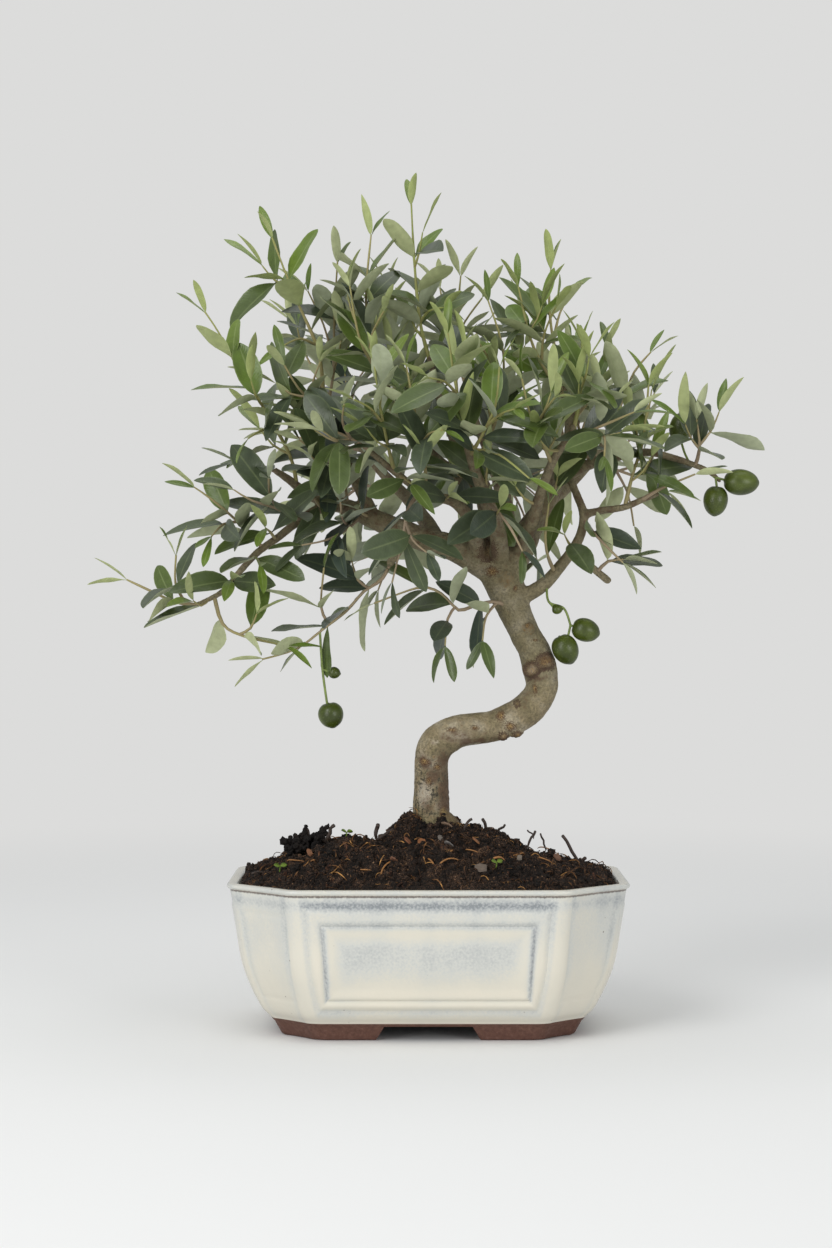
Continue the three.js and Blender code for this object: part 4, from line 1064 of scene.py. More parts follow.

# %% [markdown]
# The leaves that the solids leave out are added where they find room. Leaves near a young tip are a
# little brighter. So are the leaves at the tree's left and right ends, as painted light: their tone is
# raised because those ends catch more light.

# %% Leaves between those of the solids

LEAF_ROOM = 2.6  # the least distance of an added leaf from other leaves, in mm


def set_leaves(plan, grown):
    """Gives each leaf its tone, with painted light on leaves at the crown's left and right ends, and one of
    the blades.
    """
    for leaf, spot, youth in grown:
        # Painted light: the leaves at the crown's left and right ends get a brighter tone, as if lit more.
        painted_sun_at_ends = 0.14 * (spot["base"][0] > 50) + 0.14 * (spot["base"][0] < -60)
        tone = painted_sun_at_ends + youth * (0.25 + 0.75 * leaf["share"] ** 1.2) + 0.36 * (looks.random() - 0.3)
        plan.leaf(leaf, spot, min(1.0, max(0.0, tone)), int(looks.integers(len(BLADES))))


plans = {}
for name, (young, path, sides) in SPRAYS.items():
    plan = plans[name] = (Plan(), [])
    for i, line in enumerate(shoot_lines(path, sides)):
        foot = TWIG_FOOT if i == 0 else TWIG_FOOT * 0.72
        plan[0].line(smooth_line(line, FINE_STEP), foot, TWIG_TIP, 0.9 - 0.75 * young)
    for leaf, turn in places[name]:
        spot = leaf_at(leaf, turn or 0)
        if turn is None:
            spots = [leaf_at(leaf, other) for other in MORE_TURNS]
            spot = next((s for s in spots if room.clear(leaf, s, LEAF_ROOM)), None)
            if spot is None or in_clearing(leaf, spot):
                continue
            room.fill(leaf, spot)
            counts["added"] += 1
        plan[1].append((leaf, spot, young))
print("leaves added between them:", counts["added"])

# %% [markdown]
# Old wood of an olive sprouts too. Along the limbs stand short leafy twigs, most of them on the side
# that gets the light, and they hide much of the bare wood inside the crown.

# %% Lines of the limbs

# Each point as x, y, z and radius.
LIMBS = {
    "trunk": [
        (2, 0, 92, 13.5), (2, 0, 108, 12.8), (2, 0, 120, 11.6), (2, 0, 135, 10.6), (2, 0, 148, 10.2),
        (2, -1, 159, 10.3), (5, -2, 168, 10.8), (11, -3, 173, 10.4), (20, -4, 177, 9.9), (37, -4, 179, 9.4),
        (48, -4, 183, 9.8), (56, -4, 187, 10.2), (63, -3, 193, 9.9), (68, -2, 202, 9.6),
        (67, -1, 213, 10.2), (64, 0, 224, 9.6), (59, 0, 233, 9.1), (55, 0, 242, 9.3), (51, 0, 251, 10),
        (47, 0, 261, 11.5), (44, 0, 271, 13), (42, 0, 279, 11),
    ],
    "left": [
        (46, 0, 262, 8.5), (36, -2, 274, 8.6), (25, -3, 281, 8.2), (13, -5, 287, 7.8), (-2, -7, 291, 7.3),
        (-17, -8, 297, 6.8), (-32, -8, 303, 6), (-47, -6, 310, 5), (-61, -8, 314, 4), (-73, -12, 319, 3.2),
        (-82, -16, 326, 2.6), (-91, -20, 332, 2),
    ],
    "lower_left": [
        (-50, -6, 311, 3.6), (-65, -12, 309, 3.1), (-78, -17, 301, 2.7), (-89, -20, 292, 2.5),
        (-101, -23, 283, 2.3), (-111, -26, 272, 2.1), (-120, -28, 261, 1.9), (-130, -30, 255, 1.6),
        (-138, -32, 252, 1.3),
    ],
    "centre_up": [
        (43, 4, 272, 9), (42, 8, 288, 8.2), (39, 12, 303, 7.2), (34, 14, 319, 6.2), (27, 14, 334, 5.2),
        (18, 12, 349, 4.2), (11, 8, 367, 3.3), (5, 2, 384, 2.6), (1, -4, 401, 2),
    ],
    "right_up": [
        (48, 0, 272, 9), (55, 0, 285, 8.6), (61, 2, 297, 7.6), (69, 4, 310, 6.4), (77, 5, 326, 5.6),
        (84, 6, 342, 4.6), (86, 8, 361, 3.6), (83, 10, 379, 2.8), (80, 12, 397, 2.2),
    ],
    "right_arm": [
        (77, 5, 326, 4.2), (91, 0, 334, 3.6), (106, -4, 339, 3.1), (121, -7, 342, 2.7), (132, -9, 343, 2.4),
        (145, -10, 340, 2.2), (157, -11, 336, 2), (168, -12, 331, 1.7), (174, -13, 325, 1.2),
    ],
    "lower_right": [
        (52, 2, 255, 4.6), (61, -2, 259, 4.6), (70, -5, 265, 4.2), (78, -7, 274, 3.7), (85, -8, 283, 3.3),
        (91, -8, 294, 2.9), (93, -6, 306, 2.7), (89, -3, 318, 2.5), (85, 0, 328, 2.4),
    ],
    "lower_right_stub": [(86, -8, 284, 2.8), (97, -9, 275, 2.5), (108, -10, 266, 2.3)],
    "right_low": [
        (93, -6, 306, 2.6), (102, -12, 308, 2.4), (116, -16, 310, 2.2), (126, -18, 314, 2),
        (136, -20, 318, 1.8),
    ],
    "cut_stub": [(-11, -10, 293, 3.2), (-17, -15, 285, 2.8), (-23, -19, 276, 2.5)],
    "hanging_stub": [(-46, -2, 308, 2.2), (-47, 2, 297, 1.8), (-49, 4, 284, 1.6), (-50, 4, 274, 1.4)],
    "back": [
        (45, 10, 276, 8), (46, 24, 288, 6.8), (48, 42, 307, 5.6), (45, 58, 327, 4.6), (39, 70, 346, 3.6),
        (31, 78, 365, 2.8), (25, 84, 384, 2.2),
    ],
    "back_left": [
        (7, 0, 288, 5.5), (0, 20, 301, 4.8), (-12, 42, 317, 4), (-27, 60, 333, 3.2), (-41, 74, 350, 2.6),
        (-54, 84, 369, 2),
    ],
    "back_right": [
        (62, 8, 297, 5), (71, 28, 310, 4.4), (85, 48, 324, 3.8), (100, 64, 339, 3), (113, 76, 356, 2.4),
        (123, 84, 372, 1.8),
    ],
    "front_left": [
        (30, -8, 282, 5), (26, -24, 299, 4.2), (16, -36, 312, 3.4), (-2, -44, 317, 2.6),
        (-19, -50, 329, 2.2), (-35, -54, 342, 1.8),
    ],
    "front_up": [
        (43, -8, 279, 6), (41, -24, 296, 5), (35, -38, 311, 4.2), (29, -50, 325, 3.4), (24, -58, 339, 2.8),
        (20, -64, 353, 2.2),
    ],
    "front_right": [
        (55, -6, 285, 5), (62, -22, 302, 4.2), (66, -36, 318, 3.2), (72, -48, 335, 2.6),
        (80, -56, 348, 2.1), (84, -60, 356, 1.8),
    ],
    "left_up": [
        (-32, -8, 303, 4.5), (-39, -6, 318, 3.8), (-48, -2, 336, 3.2), (-55, 2, 354, 2.6),
        (-61, 6, 372, 2.1), (-65, 8, 388, 1.8),
    ],
    "upper_left_arm": [
        (34, 14, 319, 4.5), (21, 14, 328, 4.2), (6, 14, 339, 3.8), (-8, 12, 353, 3.2), (-19, 10, 370, 2.7),
        (-26, 6, 387, 2.2), (-31, 2, 405, 1.8),
    ],
}
print("thickest limb:", 2 * max(line[0][3] for line in LIMBS.values()), "mm")

# %% Leafy twigs on the limbs

# Limb, number of twigs on it, from and to which share of its length, and how young they are.
TWIGS_ON_LIMBS = [
    ("left", 3, 0.5, 0.9, 0.2), ("lower_left", 4, 0.35, 0.97, 0.5), ("centre_up", 4, 0.3, 0.95, 0.5),
    ("right_up", 3, 0.3, 0.95, 0.5), ("front_left", 2, 0.4, 0.9, 0.4), ("front_up", 3, 0.3, 0.9, 0.5),
    ("front_right", 2, 0.3, 0.9, 0.6), ("back", 2, 0.4, 0.95, 0.4), ("back_left", 2, 0.3, 0.95, 0.3),
    ("back_right", 1, 0.4, 0.95, 0.4), ("upper_left_arm", 3, 0.2, 0.9, 0.4), ("left_up", 2, 0.2, 0.9, 0.3),
    ("lower_right", 1, 0.5, 0.9, 0.6), ("right_arm", 2, 0.3, 0.8, 0.4),
]
twigs = Plan()
on_twigs = []
for limb, count, first, last, youth in TWIGS_ON_LIMBS:
    centres = smooth_line([np.array(p[:3]) for p in LIMBS[limb]], 3.0)
    radii = [p[3] for p in LIMBS[limb]]
    for k in range(count):
        share = first + (last - first) * (k + 0.8 * looks.random()) / count
        point, ahead = along_line(centres, line_length(centres) * share)
        radius = float(np.interp(share * (len(radii) - 1), range(len(radii)), radii))
        to_light = np.array([0.0, -1.0, 0.1]) if not limb.startswith("back") else np.array([0.0, 1.0, 0.2])
        way = unit(to_light + looks.normal(0, 0.55, 3) + ahead * 0.3)
        way = unit(way - ahead * np.dot(way, ahead) * 0.6)
        reach = 14 + 12 * looks.random()
        foot = point + way * radius * 0.7
        bend = unit(way + UP * 0.5 * (looks.random() - 0.2))
        line = [tuple(foot), tuple(foot + way * reach * 0.5), tuple(foot + bend * reach)]
        on_twigs += leafy_spur(twigs, line, youth, 15485863 + 31 * len(on_twigs) + k, 1.0)
counts["on limbs"] = len(on_twigs)
set_leaves(twigs, on_twigs)
finished(grow(spray_tree, twigs.mesh("plan_of_twigs"), "leafy_twigs_on_limbs", spray_inputs), "leaf")

# %% [markdown]
# Last come the spurs of each spray. Then the spray is grown from its plan and stands for its node.

# %% The finished sprays

SPURS_PER_SPRAY = 2
LEAFIEST = {"top_left": 3, "upper_left_inner": 3}
LOWEST_SPUR = 345.0  # the low sprays hang free and are thin
for name, (young, path, sides) in SPRAYS.items():
    plan, grown = plans[name]
    spurs = (
        1 if path[-1][1] > 60 else LEAFIEST.get(name, SPURS_PER_SPRAY)
    ) if path[-1][2] > LOWEST_SPUR else 0
    for k, line in enumerate(spur_lines(smooth_line(path, SOLID_STEP), spurs)):
        on_spur = leafy_spur(plan, line, young, 104729 * (len(places) + k) + len(grown))
        counts["on spurs"] = counts.get("on spurs", 0) + len(on_spur)
        grown += on_spur
    set_leaves(plan, grown)
    spray = grow(spray_tree, plan.mesh("plan_" + name), "leafy_shoot_" + name, spray_inputs)
    finished(spray, "leaf", "spray_" + name)
print("leaves:", counts)

# %% [markdown]
# ## Trunk and limbs
#
# Olive bark on a young bonsai is thin and nearly smooth, grey-beige with an olive cast, rough only
# where branches were pruned: there it closes in warty rings of reddish-brown cork. A limb is a tapered
# tube along a smooth line. Where limbs meet, real wood flows together without an edge, so all tubes
# are fused by a voxel remesh, which also rounds the crotches, and then smoothed a little.

# %% Tubes of wood

WOOD_STEP = 2.5
VOXEL = 1.1 * MM


def wood_line(line):
    """A limb's centres and radii, close together."""
    return np.array(smooth_line(line, WOOD_STEP))


def tube_mesh(line, sides):
    """A closed tube along points of [x, y, z, radius], in millimetres."""
    centres, radii = line[:, :3], line[:, 3]
    ahead = np.gradient(centres, axis=0)
    ahead /= np.linalg.norm(ahead, axis=1)[:, None]
    across = np.array([1.0, 0.0, 0.0]) if abs(ahead[0][0]) < 0.9 else np.array([0.0, 1.0, 0.0])
    points, faces = [], wall_faces(len(centres), sides)
    for i, centre in enumerate(centres):
        across = unit(across - ahead[i] * np.dot(across, ahead[i]))
        over = np.cross(ahead[i], across)
        points += [centre + (across * c + over * s) * radii[i] for c, s in circle(sides)]
    # Rounded ends close the tube.
    last_ring = len(points) - sides
    for end, way, first in ((0, -1, 0), (len(centres) - 1, 1, last_ring)):
        ring = list(range(first, first + sides))
        tip = len(points)
        points.append(centres[end] + ahead[end] * way * radii[end] * 0.55)
        for k in range(sides):
            pair = (ring[k], ring[(k + 1) % sides])
            faces.append((*pair, tip) if way > 0 else (*pair[::-1], tip))
    return points, faces


# Knots by middle and radius, then the stock and the main roots, each point as x, y, z and radius.
KNOTS = [
    (61.5, -7, 213.5, 5.0), (69.5, -6.5, 217.5, 5.4), (68, 4, 216, 6), (60, -8, 238, 3.6),
    (4, -9, 160, 3.2), (46, -9, 268, 5.2), (34, -6, 288, 5.6), (45, -8, 175.0, 3.5), (53, -7, 176.2, 3.5),
    (43.5, -11, 186, 2.6),
]
ROOT_STOCK = [(2, 0, 96, 13.5), (3, 1, 74, 10), (2, 0, 54, 5)]
ROOTS = [
    [(5, -4, 126, 6.5), (13, -8, 121, 5.2), (25, -14, 108, 4), (50, -26, 82, 2.4)],
    [(-2, -4, 116, 6.5), (-14, -14, 105, 4.4), (-28, -30, 88, 3), (-44, -44, 66, 2)],
    [(0, 5, 112, 6.5), (2, 20, 102, 4.4), (6, 38, 84, 3), (10, 52, 60, 2)],
]

print("limbs:", len(LIMBS), "knots:", len(KNOTS), "roots:", len(ROOTS))

# %% [markdown]
# The remesh is a modifier with a voxel size of about a millimetre: fine enough for the thinnest limb,
# coarse enough to close the seams. Boolean joins would keep a sharp edge where two limbs meet.

# %% Fuse the wood

wood_points, wood_faces = [], []
for line in [*LIMBS.values(), ROOT_STOCK, *ROOTS]:
    fine = wood_line(line)
    join_on(wood_points, wood_faces, *tube_mesh(fine, 24 if fine[0][3] > 7 else 14))
for x, y, z, radius in KNOTS:
    ball = bmesh.new()
    bmesh.ops.create_icosphere(ball, subdivisions=3, radius=radius)
    lump = [np.array(v.co) + (x, y, z) for v in ball.verts]
    join_on(wood_points, wood_faces, lump, [[v.index for v in face.verts] for face in ball.faces])
    ball.free()
trunk = mesh_object("trunk_and_limbs_wood", in_frame(wood_points), wood_faces)
fuse = trunk.modifiers.new("fuse", "REMESH")
fuse.mode, fuse.voxel_size, fuse.use_smooth_shade = "VOXEL", VOXEL, True
relax = trunk.modifiers.new("relax", "SMOOTH")
relax.iterations, relax.factor = 4, 0.5
fused = baked(trunk)
print("wood fused:", len(fused.vertices), "points")

# %% [markdown]
# Scars, warts, rough patches, painted shade under the bend of the trunk and pale dry wood are places
# on the bark. They are listed here as seen from the front.

# %% Marks on the bark

# Marks on the front of the trunk, as x, z, half width, half height and how strongly they show.
RINGED_SCARS = [
    (62.0, 213.2, 4.3, 3.9, 1.0), (70.0, 218.2, 5.2, 4.4, 1.0), (53.1, 193, 2.0, 1.9, 0.8),
    (44.8, 174.2, 2.6, 2.2, 0.9), (53.5, 174.5, 2.8, 2.2, 0.8), (35.5, 283.5, 5.0, 6.0, 0.7),
    (58, 282, 1.8, 1.8, 0.7),
]
OCHRE_PATCHES = [
    (59.2, 239.5, 1.0, 1.2, 1.0), (63.7, 231, 1.5, 0.9, 1.0), (63.8, 202, 1.6, 3.4, 0.7),
    (43.5, 185.7, 2.4, 3.0, 0.8), (48.9, 180, 3.0, 2.4, 0.9), (27.7, 178.8, 3.0, 1.6, 0.5),
    (14.3, 177.6, 4.2, 1.6, 0.5), (-1.8, 158.6, 3.0, 2.2, 0.9), (5.4, 155.3, 2.4, 1.8, 0.9),
    (0.5, 147, 2.2, 3.2, 0.6), (38, 272, 4.2, 2.8, 0.8), (9, 128, 3.0, 5.0, 0.6), (52, 262, 1.6, 2.0, 0.5),
]
# Cracked reddish bark, where the two long low patches at z 171.5 and 173.5 are painted shade under the
# bend of the trunk, and pale dry wood or lichen, in the same five numbers.
RUSTY_AND_SHADE_PATCHES = [
    (-1.5, 158, 4.5, 4.5, 1.0), (3.5, 150, 5.0, 6.0, 1.0), (9.5, 140, 5.0, 16, 1.0),
    (9, 160, 4.0, 7.0, 0.9), (26, 171.5, 15, 3.0, 0.9), (0, 132, 4.0, 7.0, 0.6), (58, 196, 3.0, 8.0, 0.35),
    (6, 118, 9.0, 6.0, 0.7), (70.5, 219, 4.4, 3.6, 1.0), (64, 208, 9.0, 2.0, 0.8), (-8, 150, 2.0, 14, 0.4),
    (20, 173.5, 15, 4.0, 0.5),
]
PALE_PATCHES = [
    (62.0, 213.4, 2.9, 2.5, 1.0), (71.5, 216.4, 1.6, 1.2, 0.7), (45, 174, 1.3, 1.1, 0.8),
    (-2.5, 139, 5.0, 10.0, 0.8), (-4, 163, 5.0, 5.0, 0.5), (4, 170, 5.0, 3.0, 0.5),
    (50.5, 179, 1.6, 1.4, 0.7), (44.5, 185.5, 1.2, 1.2, 0.8),
]
# The fold under the old graft, as points of x, z.
FOLD = [(56.0, 204.5), (60.0, 207.0), (63.7, 209.6), (67.0, 212.6), (70.5, 213.8), (75.0, 214.6)]
print("marks:", len(RINGED_SCARS + OCHRE_PATCHES + RUSTY_AND_SHADE_PATCHES + PALE_PATCHES))

# %% [markdown]
# Each point of the fused wood learns how near it is to each kind of mark. The distances wander a
# little, so that no mark has a smooth edge, and only the wood that faces the front takes them.

# %% How near the marks are


def point_vectors(mesh, kind):
    """The places or the normals of a mesh's points, as rows of three."""
    values = np.empty(len(mesh.vertices) * 3)
    mesh.vertices.foreach_get(kind, values)
    return values.reshape(-1, 3)


co, normals = point_vectors(fused, "co"), point_vectors(fused, "normal")
place = (co - ORIGIN) / MM
scar, ring, ochre = np.zeros(len(place)), np.zeros(len(place)), np.zeros(len(place))
FAR_OFF = 3.0  # the distance from a mark, in half widths, where it has no effect left
mark, lips = np.full(len(place), FAR_OFF), np.full(len(place), FAR_OFF)
wander = np.array([noise.noise_vector(Vector(p / 2.3)) for p in place]) * 1.5
wander += np.array([noise.noise_vector(Vector(p / 0.9)) for p in place]) * 0.5
on_front = np.clip(-2.5 * normals[:, 1], 0, 1) * (place[:, 1] < 4)


def nearness(x, z, wide, high, ragged=1.0):
    """Distance from a mark's middle on the front, where 1 is its edge."""
    across, up = (place + ragged * wander)[:, (0, 2)].T
    return np.hypot((across - x) / wide, (up - z) / high)


def closer(found, x, z, wide, high, strength):
    """The lesser of the distances found so far and the distance from one more mark.

    A weak mark counts as further off, and wood that doesn't face the front as far off.
    """
    near = nearness(x, z, wide, high, 0.35) + FAR_OFF * (1 - on_front) + 0.5 * (1 - strength)
    return np.minimum(found, near)


for x, y, z, radius in KNOTS:
    near = np.linalg.norm(place + wander - (x, y, z), axis=1) / (radius * 1.05)
    scar = np.maximum(scar, np.clip(2.0 - 1.7 * near, 0, 1))
    ochre = np.maximum(ochre, 0.6 * np.exp(-((near / 1.1) ** 4)))
for x, z, wide, high, strength in RINGED_SCARS:
    near = nearness(x, z, wide, high)
    ring = np.maximum(ring, on_front * strength * np.exp(-(((near - 1.0) / 0.3) ** 2)))
    scar = np.maximum(scar, on_front * 0.7 * np.clip(2.2 - 1.8 * near, 0, 1))
    lips = closer(lips, x, z, wide, high, strength)
for x, z, wide, high, strength in OCHRE_PATCHES:
    near = nearness(x, z, wide, high)
    ring = np.maximum(ring, 0.6 * on_front * strength * np.exp(-(((near - 1.1) / 0.35) ** 2)))
    mark = closer(mark, x, z, wide, high, strength)
pale = np.zeros(len(place))
for x, z, wide, high, strength in PALE_PATCHES:
    pale = np.maximum(pale, on_front * strength * np.exp(-(nearness(x, z, wide, high) ** 2)))
fold = np.zeros(len(place))
flat = place[:, (0, 2)] + 0.5 * wander[:, (0, 2)]
for a, b in zip(np.array(FOLD)[:-1], np.array(FOLD)[1:]):
    share = np.clip(((flat - a) @ (b - a)) / ((b - a) @ (b - a)), 0, 1)
    gap = np.linalg.norm(flat - a - share[:, None] * (b - a), axis=1)
    fold = np.maximum(fold, on_front * np.exp(-((gap / 0.9) ** 2)))
ring = np.maximum(ring, fold)
# The lowest part is rough and brown. It is more so on its right and its far side, which is painted
# shade on the sides turned away from the key light.
side = np.clip(0.5 + (place[:, 0] - 3) / 14 + place[:, 1] / 40, 0, 1)
coarse = np.clip((172 - place[:, 2]) / 30, 0, 1) * side
for x, z, wide, high, strength in RUSTY_AND_SHADE_PATCHES:
    coarse = np.maximum(coarse, on_front * strength * np.exp(-(nearness(x, z, wide, high) ** 2)))
# Wood in the crown is browner and rougher than the trunk.
coarse = np.maximum(coarse, 0.4 * np.clip((place[:, 2] - 268) / 22, 0, 1))
print("points inside a small mark:", int((mark < 1).sum()))

# %% [markdown]
# The marks push the surface out in rough rings and warts, and a long slow noise gives the swellings
# of living wood. Thin limbs get less of both. The same numbers are stored for the material, with how
# thin the limb is, whether it is upper or lower wood, and how near the soil it lies.

# %% Relief of the bark


def rough(points, size, octaves=3):
    """Fractal noise from -1 to 1 at the given points, with features about size long."""
    return np.array([noise.fractal(Vector(p / size), 1.0, 2.0, octaves) for p in points])


swelling = rough(place, 14.0)
grain = rough(place, 3.2)
warts = np.abs(rough(place + 40, 1.9, 2))
push = 0.45 * swelling + 0.16 * grain + scar * (0.1 + 0.9 * warts) + 0.7 * (ring - 2.4 * fold)
push += 0.6 * coarse * warts + 0.5 * ochre + 0.4 * np.clip(1.2 - mark, 0, 1)
limb_tree = kdtree.KDTree(sum(len(wood_line(line)) for line in LIMBS.values()))
limb_radii = []
for line in LIMBS.values():
    for point in wood_line(line):
        limb_tree.insert(Vector(point[:3]), len(limb_radii))
        limb_radii.append(point[3])
limb_tree.balance()
thickness = np.array([limb_radii[limb_tree.find(Vector(p))[1]] for p in place])
push *= np.clip(thickness / 8, 0.25, 1)
fused.vertices.foreach_set("co", (co + normals * push[:, None] * MM).ravel())
fused.update()
height = place[:, 2]
MARKS_ON_BARK = {
    "fold": fold, "mark": mark, "lips": lips,
    "ochre": np.maximum(ochre, 0.24 * np.clip((168 - height) / 24, 0, 1)), "pale": pale, "coarse": coarse,
    "thin": np.clip(1.2 - thickness / 5, 0, 1), "upper": np.clip((height - 190) / 24, 0, 1),
    "foot": np.clip((172 - height) / 24, 0, 1), "low": np.clip((134 - height) / 17, 0, 1),
}
for key, values in MARKS_ON_BARK.items():
    give_attribute(fused, key, values)
print("bark pushed out by up to", round(float(push.max()), 2), "mm, numbers stored:", *MARKS_ON_BARK)

# %% [markdown]
# The bark's material reads each stored number as an attribute and lays the colours over each other,
# from the patchy grey-beige of young bark to the moss at the damp foot. Noise of 0.8 to 11 mm breaks
# every edge, because bark flakes in bits of those sizes.

# %% Bark material

BARK_TONES = [(0.32, "#766b4e"), (0.45, "#877a5d"), (0.58, "#958a71"), (0.7, "#aa9f8a")]


def coat(tree, under, code, source, weight, amount, least, most, strongest):
    """Lays a colour over another where source times weight, plus amount, lies past a range."""
    total = add(tree, "ShaderNodeMath", {0: source, 1: weight, 2: amount}, operation="MULTIPLY_ADD")
    shown = add(tree, "ShaderNodeMapRange", {"Value": total, 1: least, 2: most, 3: 0.0, 4: strongest})
    return add(tree, "ShaderNodeMix", {0: shown, 6: under, 7: code}, data_type="RGBA")


def thin_olive_bark():
    """Grey-beige bark with an olive cast and corky red-brown scars: dull all over, dullest at scars."""
    made, tree = new_material("thin_olive_bark")
    at = add(tree, "ShaderNodeTexCoord").outputs["Object"]
    here = {
        key: add(tree, "ShaderNodeAttribute", attribute_name=key).outputs["Fac"] for key in MARKS_ON_BARK
    }
    broad = add(tree, "ShaderNodeTexNoise", {"Vector": at, "Scale": 1 / 0.011, "Detail": 5.0})
    scaly = add(tree, "ShaderNodeTexNoise", {"Vector": at, "Scale": 1 / 0.0045, "Detail": 4.0})
    fine = add(
        tree, "ShaderNodeTexNoise", {"Vector": at, "Scale": 1 / 0.0016, "Detail": 6.0, "Roughness": 0.7},
    )
    grit = add(tree, "ShaderNodeTexNoise", {"Vector": at, "Scale": 1 / 0.0008, "Detail": 3.0})
    patches = add(tree, "ShaderNodeValToRGB", {"Fac": broad}, stops=BARK_TONES)
    twiggy = add(tree, "ShaderNodeMix", {0: here["thin"], 6: patches, 7: "#94866c"}, data_type="RGBA")
    olive = add(tree, "ShaderNodeMath", {0: here["upper"], 1: 0.55}, operation="MULTIPLY")
    cast = add(tree, "ShaderNodeMix", {0: olive, 6: twiggy, 7: "#6b6549"}, data_type="RGBA")
    # The lower the bark, the rougher it is and the stronger its speckle.
    soft = add(tree, "ShaderNodeMapRange", {"Value": fine, 1: 0.36, 2: 0.64, 3: 0.62, 4: 1.34})
    harsh = add(tree, "ShaderNodeMapRange", {"Value": fine, 1: 0.42, 2: 0.6, 3: 0.25, 4: 1.75})
    blotched = add(tree, "ShaderNodeMapRange", {"Value": scaly, 1: 0.4, 2: 0.62, 3: 0.6, 4: 1.36})
    both = add(tree, "ShaderNodeMath", {0: harsh, 1: blotched}, operation="MULTIPLY")
    speckled = add(tree, "ShaderNodeMix", {0: here["foot"], 2: soft, 3: both})
    bark = add(tree, "ShaderNodeVectorMath", {0: cast, 1: speckled}, operation="MULTIPLY")
    # Pale wood, ochre cork and rough brown bark show in broken flecks: the strength of the mark plus
    # noise, cut off sharply.
    bark = coat(tree, bark, "#b0a592", fine, 1.4, here["pale"], 1.0, 1.4, 0.85)
    bark = coat(tree, bark, "#6f5733", fine, 1.5, here["ochre"], 1.0, 1.35, 0.9)
    # This dark brown is rough bark, and also painted shade on the right and far side of the foot and under
    # the bend of the trunk.
    crumbly_and_shade = add(tree, "ShaderNodeMath", {0: scaly, 1: 2.0, 2: here["coarse"]}, operation="MULTIPLY_ADD")
    bark = coat(tree, bark, "#553d2b", fine, 2.4, crumbly_and_shade, 2.5, 3.05, 0.84)
    # Small marks are crumbs of ochre and rust-brown cork with a dark lip, and ringed scars have a
    # stronger lip. Grit frays both.
    crumbled = add(tree, "ShaderNodeMapRange", {"Value": grit, 1: 0.47, 2: 0.54, 3: 0.0, 4: 1.0})
    wart = add(tree, "ShaderNodeMix", {0: crumbled, 6: "#54371f", 7: "#9a7f4e"}, data_type="RGBA")
    frayed = {}
    for key, least, most, strongest in (("mark", 1.8, 2.4, 0.95), ("lips", 1.5, 2.3, 0.6)):
        frayed[key] = add(tree, "ShaderNodeMath", {0: grit, 1: 2.4, 2: here[key]}, operation="MULTIPLY_ADD")
        middle = add(
            tree, "ShaderNodeMapRange", {"Value": frayed[key], 1: least, 2: most, 3: strongest, 4: 0.0},
        )
        bark = add(tree, "ShaderNodeMix", {0: middle, 6: bark, 7: wart}, data_type="RGBA")
    for key, strongest in (("mark", 0.4), ("lips", 1.0)):
        off_edge = add(tree, "ShaderNodeMath", {0: frayed[key], 1: 2.2}, operation="SUBTRACT")
        away = add(tree, "ShaderNodeMath", {0: off_edge}, operation="ABSOLUTE")
        lip = add(tree, "ShaderNodeMapRange", {"Value": away, 1: 0.08, 2: 0.42, 3: strongest, 4: 0.0})
        bark = add(tree, "ShaderNodeMix", {0: lip, 6: bark, 7: "#4b3626"}, data_type="RGBA")
    # A dark brown lines the pushed-in fold, and moss tints the damp foot.
    bark = coat(tree, bark, "#4f3b2c", fine, 1.0, here["fold"], 0.75, 1.4, 0.9)
    bark = coat(tree, bark, "#6b6238", broad, 1.3, here["low"], 0.95, 1.6, 0.75)
    bump = add(tree, "ShaderNodeBump", {"Strength": 0.9, "Distance": 0.0012, "Height": fine})
    return with_skin(made, {"Base Color": bark, "Roughness": 0.74, "Normal": bump})


trunk.data.materials.clear()
trunk.data.materials.append(thin_olive_bark())
trunk.data.polygons.foreach_set("material_index", [0] * len(trunk.data.polygons))
finished(trunk, "bark", "trunk_and_limbs")

# %% [markdown]
# ## The pot
#
# A pot like this is pressed from stoneware clay in a mould, so its walls curve softly, its edges are
# blunt and a low frame stands out on each long face. It is dipped in a cream glaze upside down, which
# leaves the feet bare. The glaze is thick and blue-grey where it pools, in grooves and hollows, and
# thin and brown where it ran off the edge under the rim; the dark line under the rim is also painted
# shadow of the lip's overhang. The wall is made as a stack of rings. Each ring's points are pushed out
# by the relief of the frames, and each point learns how deep the glaze lies there and how dark the line
# under the lip is, so the colours follow the form.

# %% Outline and wall

HALF_LENGTH, HALF_DEPTH, CORNER_CUT = 117.75, 89.0, 38.0
CUT_LOSS = 0.52  # the corner cuts shrink this much for each millimetre of inset
# Height, and how far the wall lies inside the rim's outline.
OUTSIDE = [(8.6, 26.6), (11.4, 24.3), (18.5, 18.7), (40, 10), (62, 6), (86.4, 2.0)]
LIP = [
    (86.9, 1.6), (87.3, 0.8), (87.8, 0.3), (88.5, 0.05), (89.2, 0.2), (89.7, 0.75), (90, 1.8), (90, 3.4),
    (89.9, 5), (89.5, 6.1), (88.8, 6.6),
]
INSIDE = [(88.8, 6.6), (62, 12.5), (40, 16.5), (26.5, 21.2), (17.5, 27.2)]
# Insets of the feet, the width of their band, and the half widths and the slope of their gaps.
FEET = {"top": 27.0, "bottom": 31.5, "band": 15.0, "front": 31.0, "side": 17.0, "slope": 5.5}
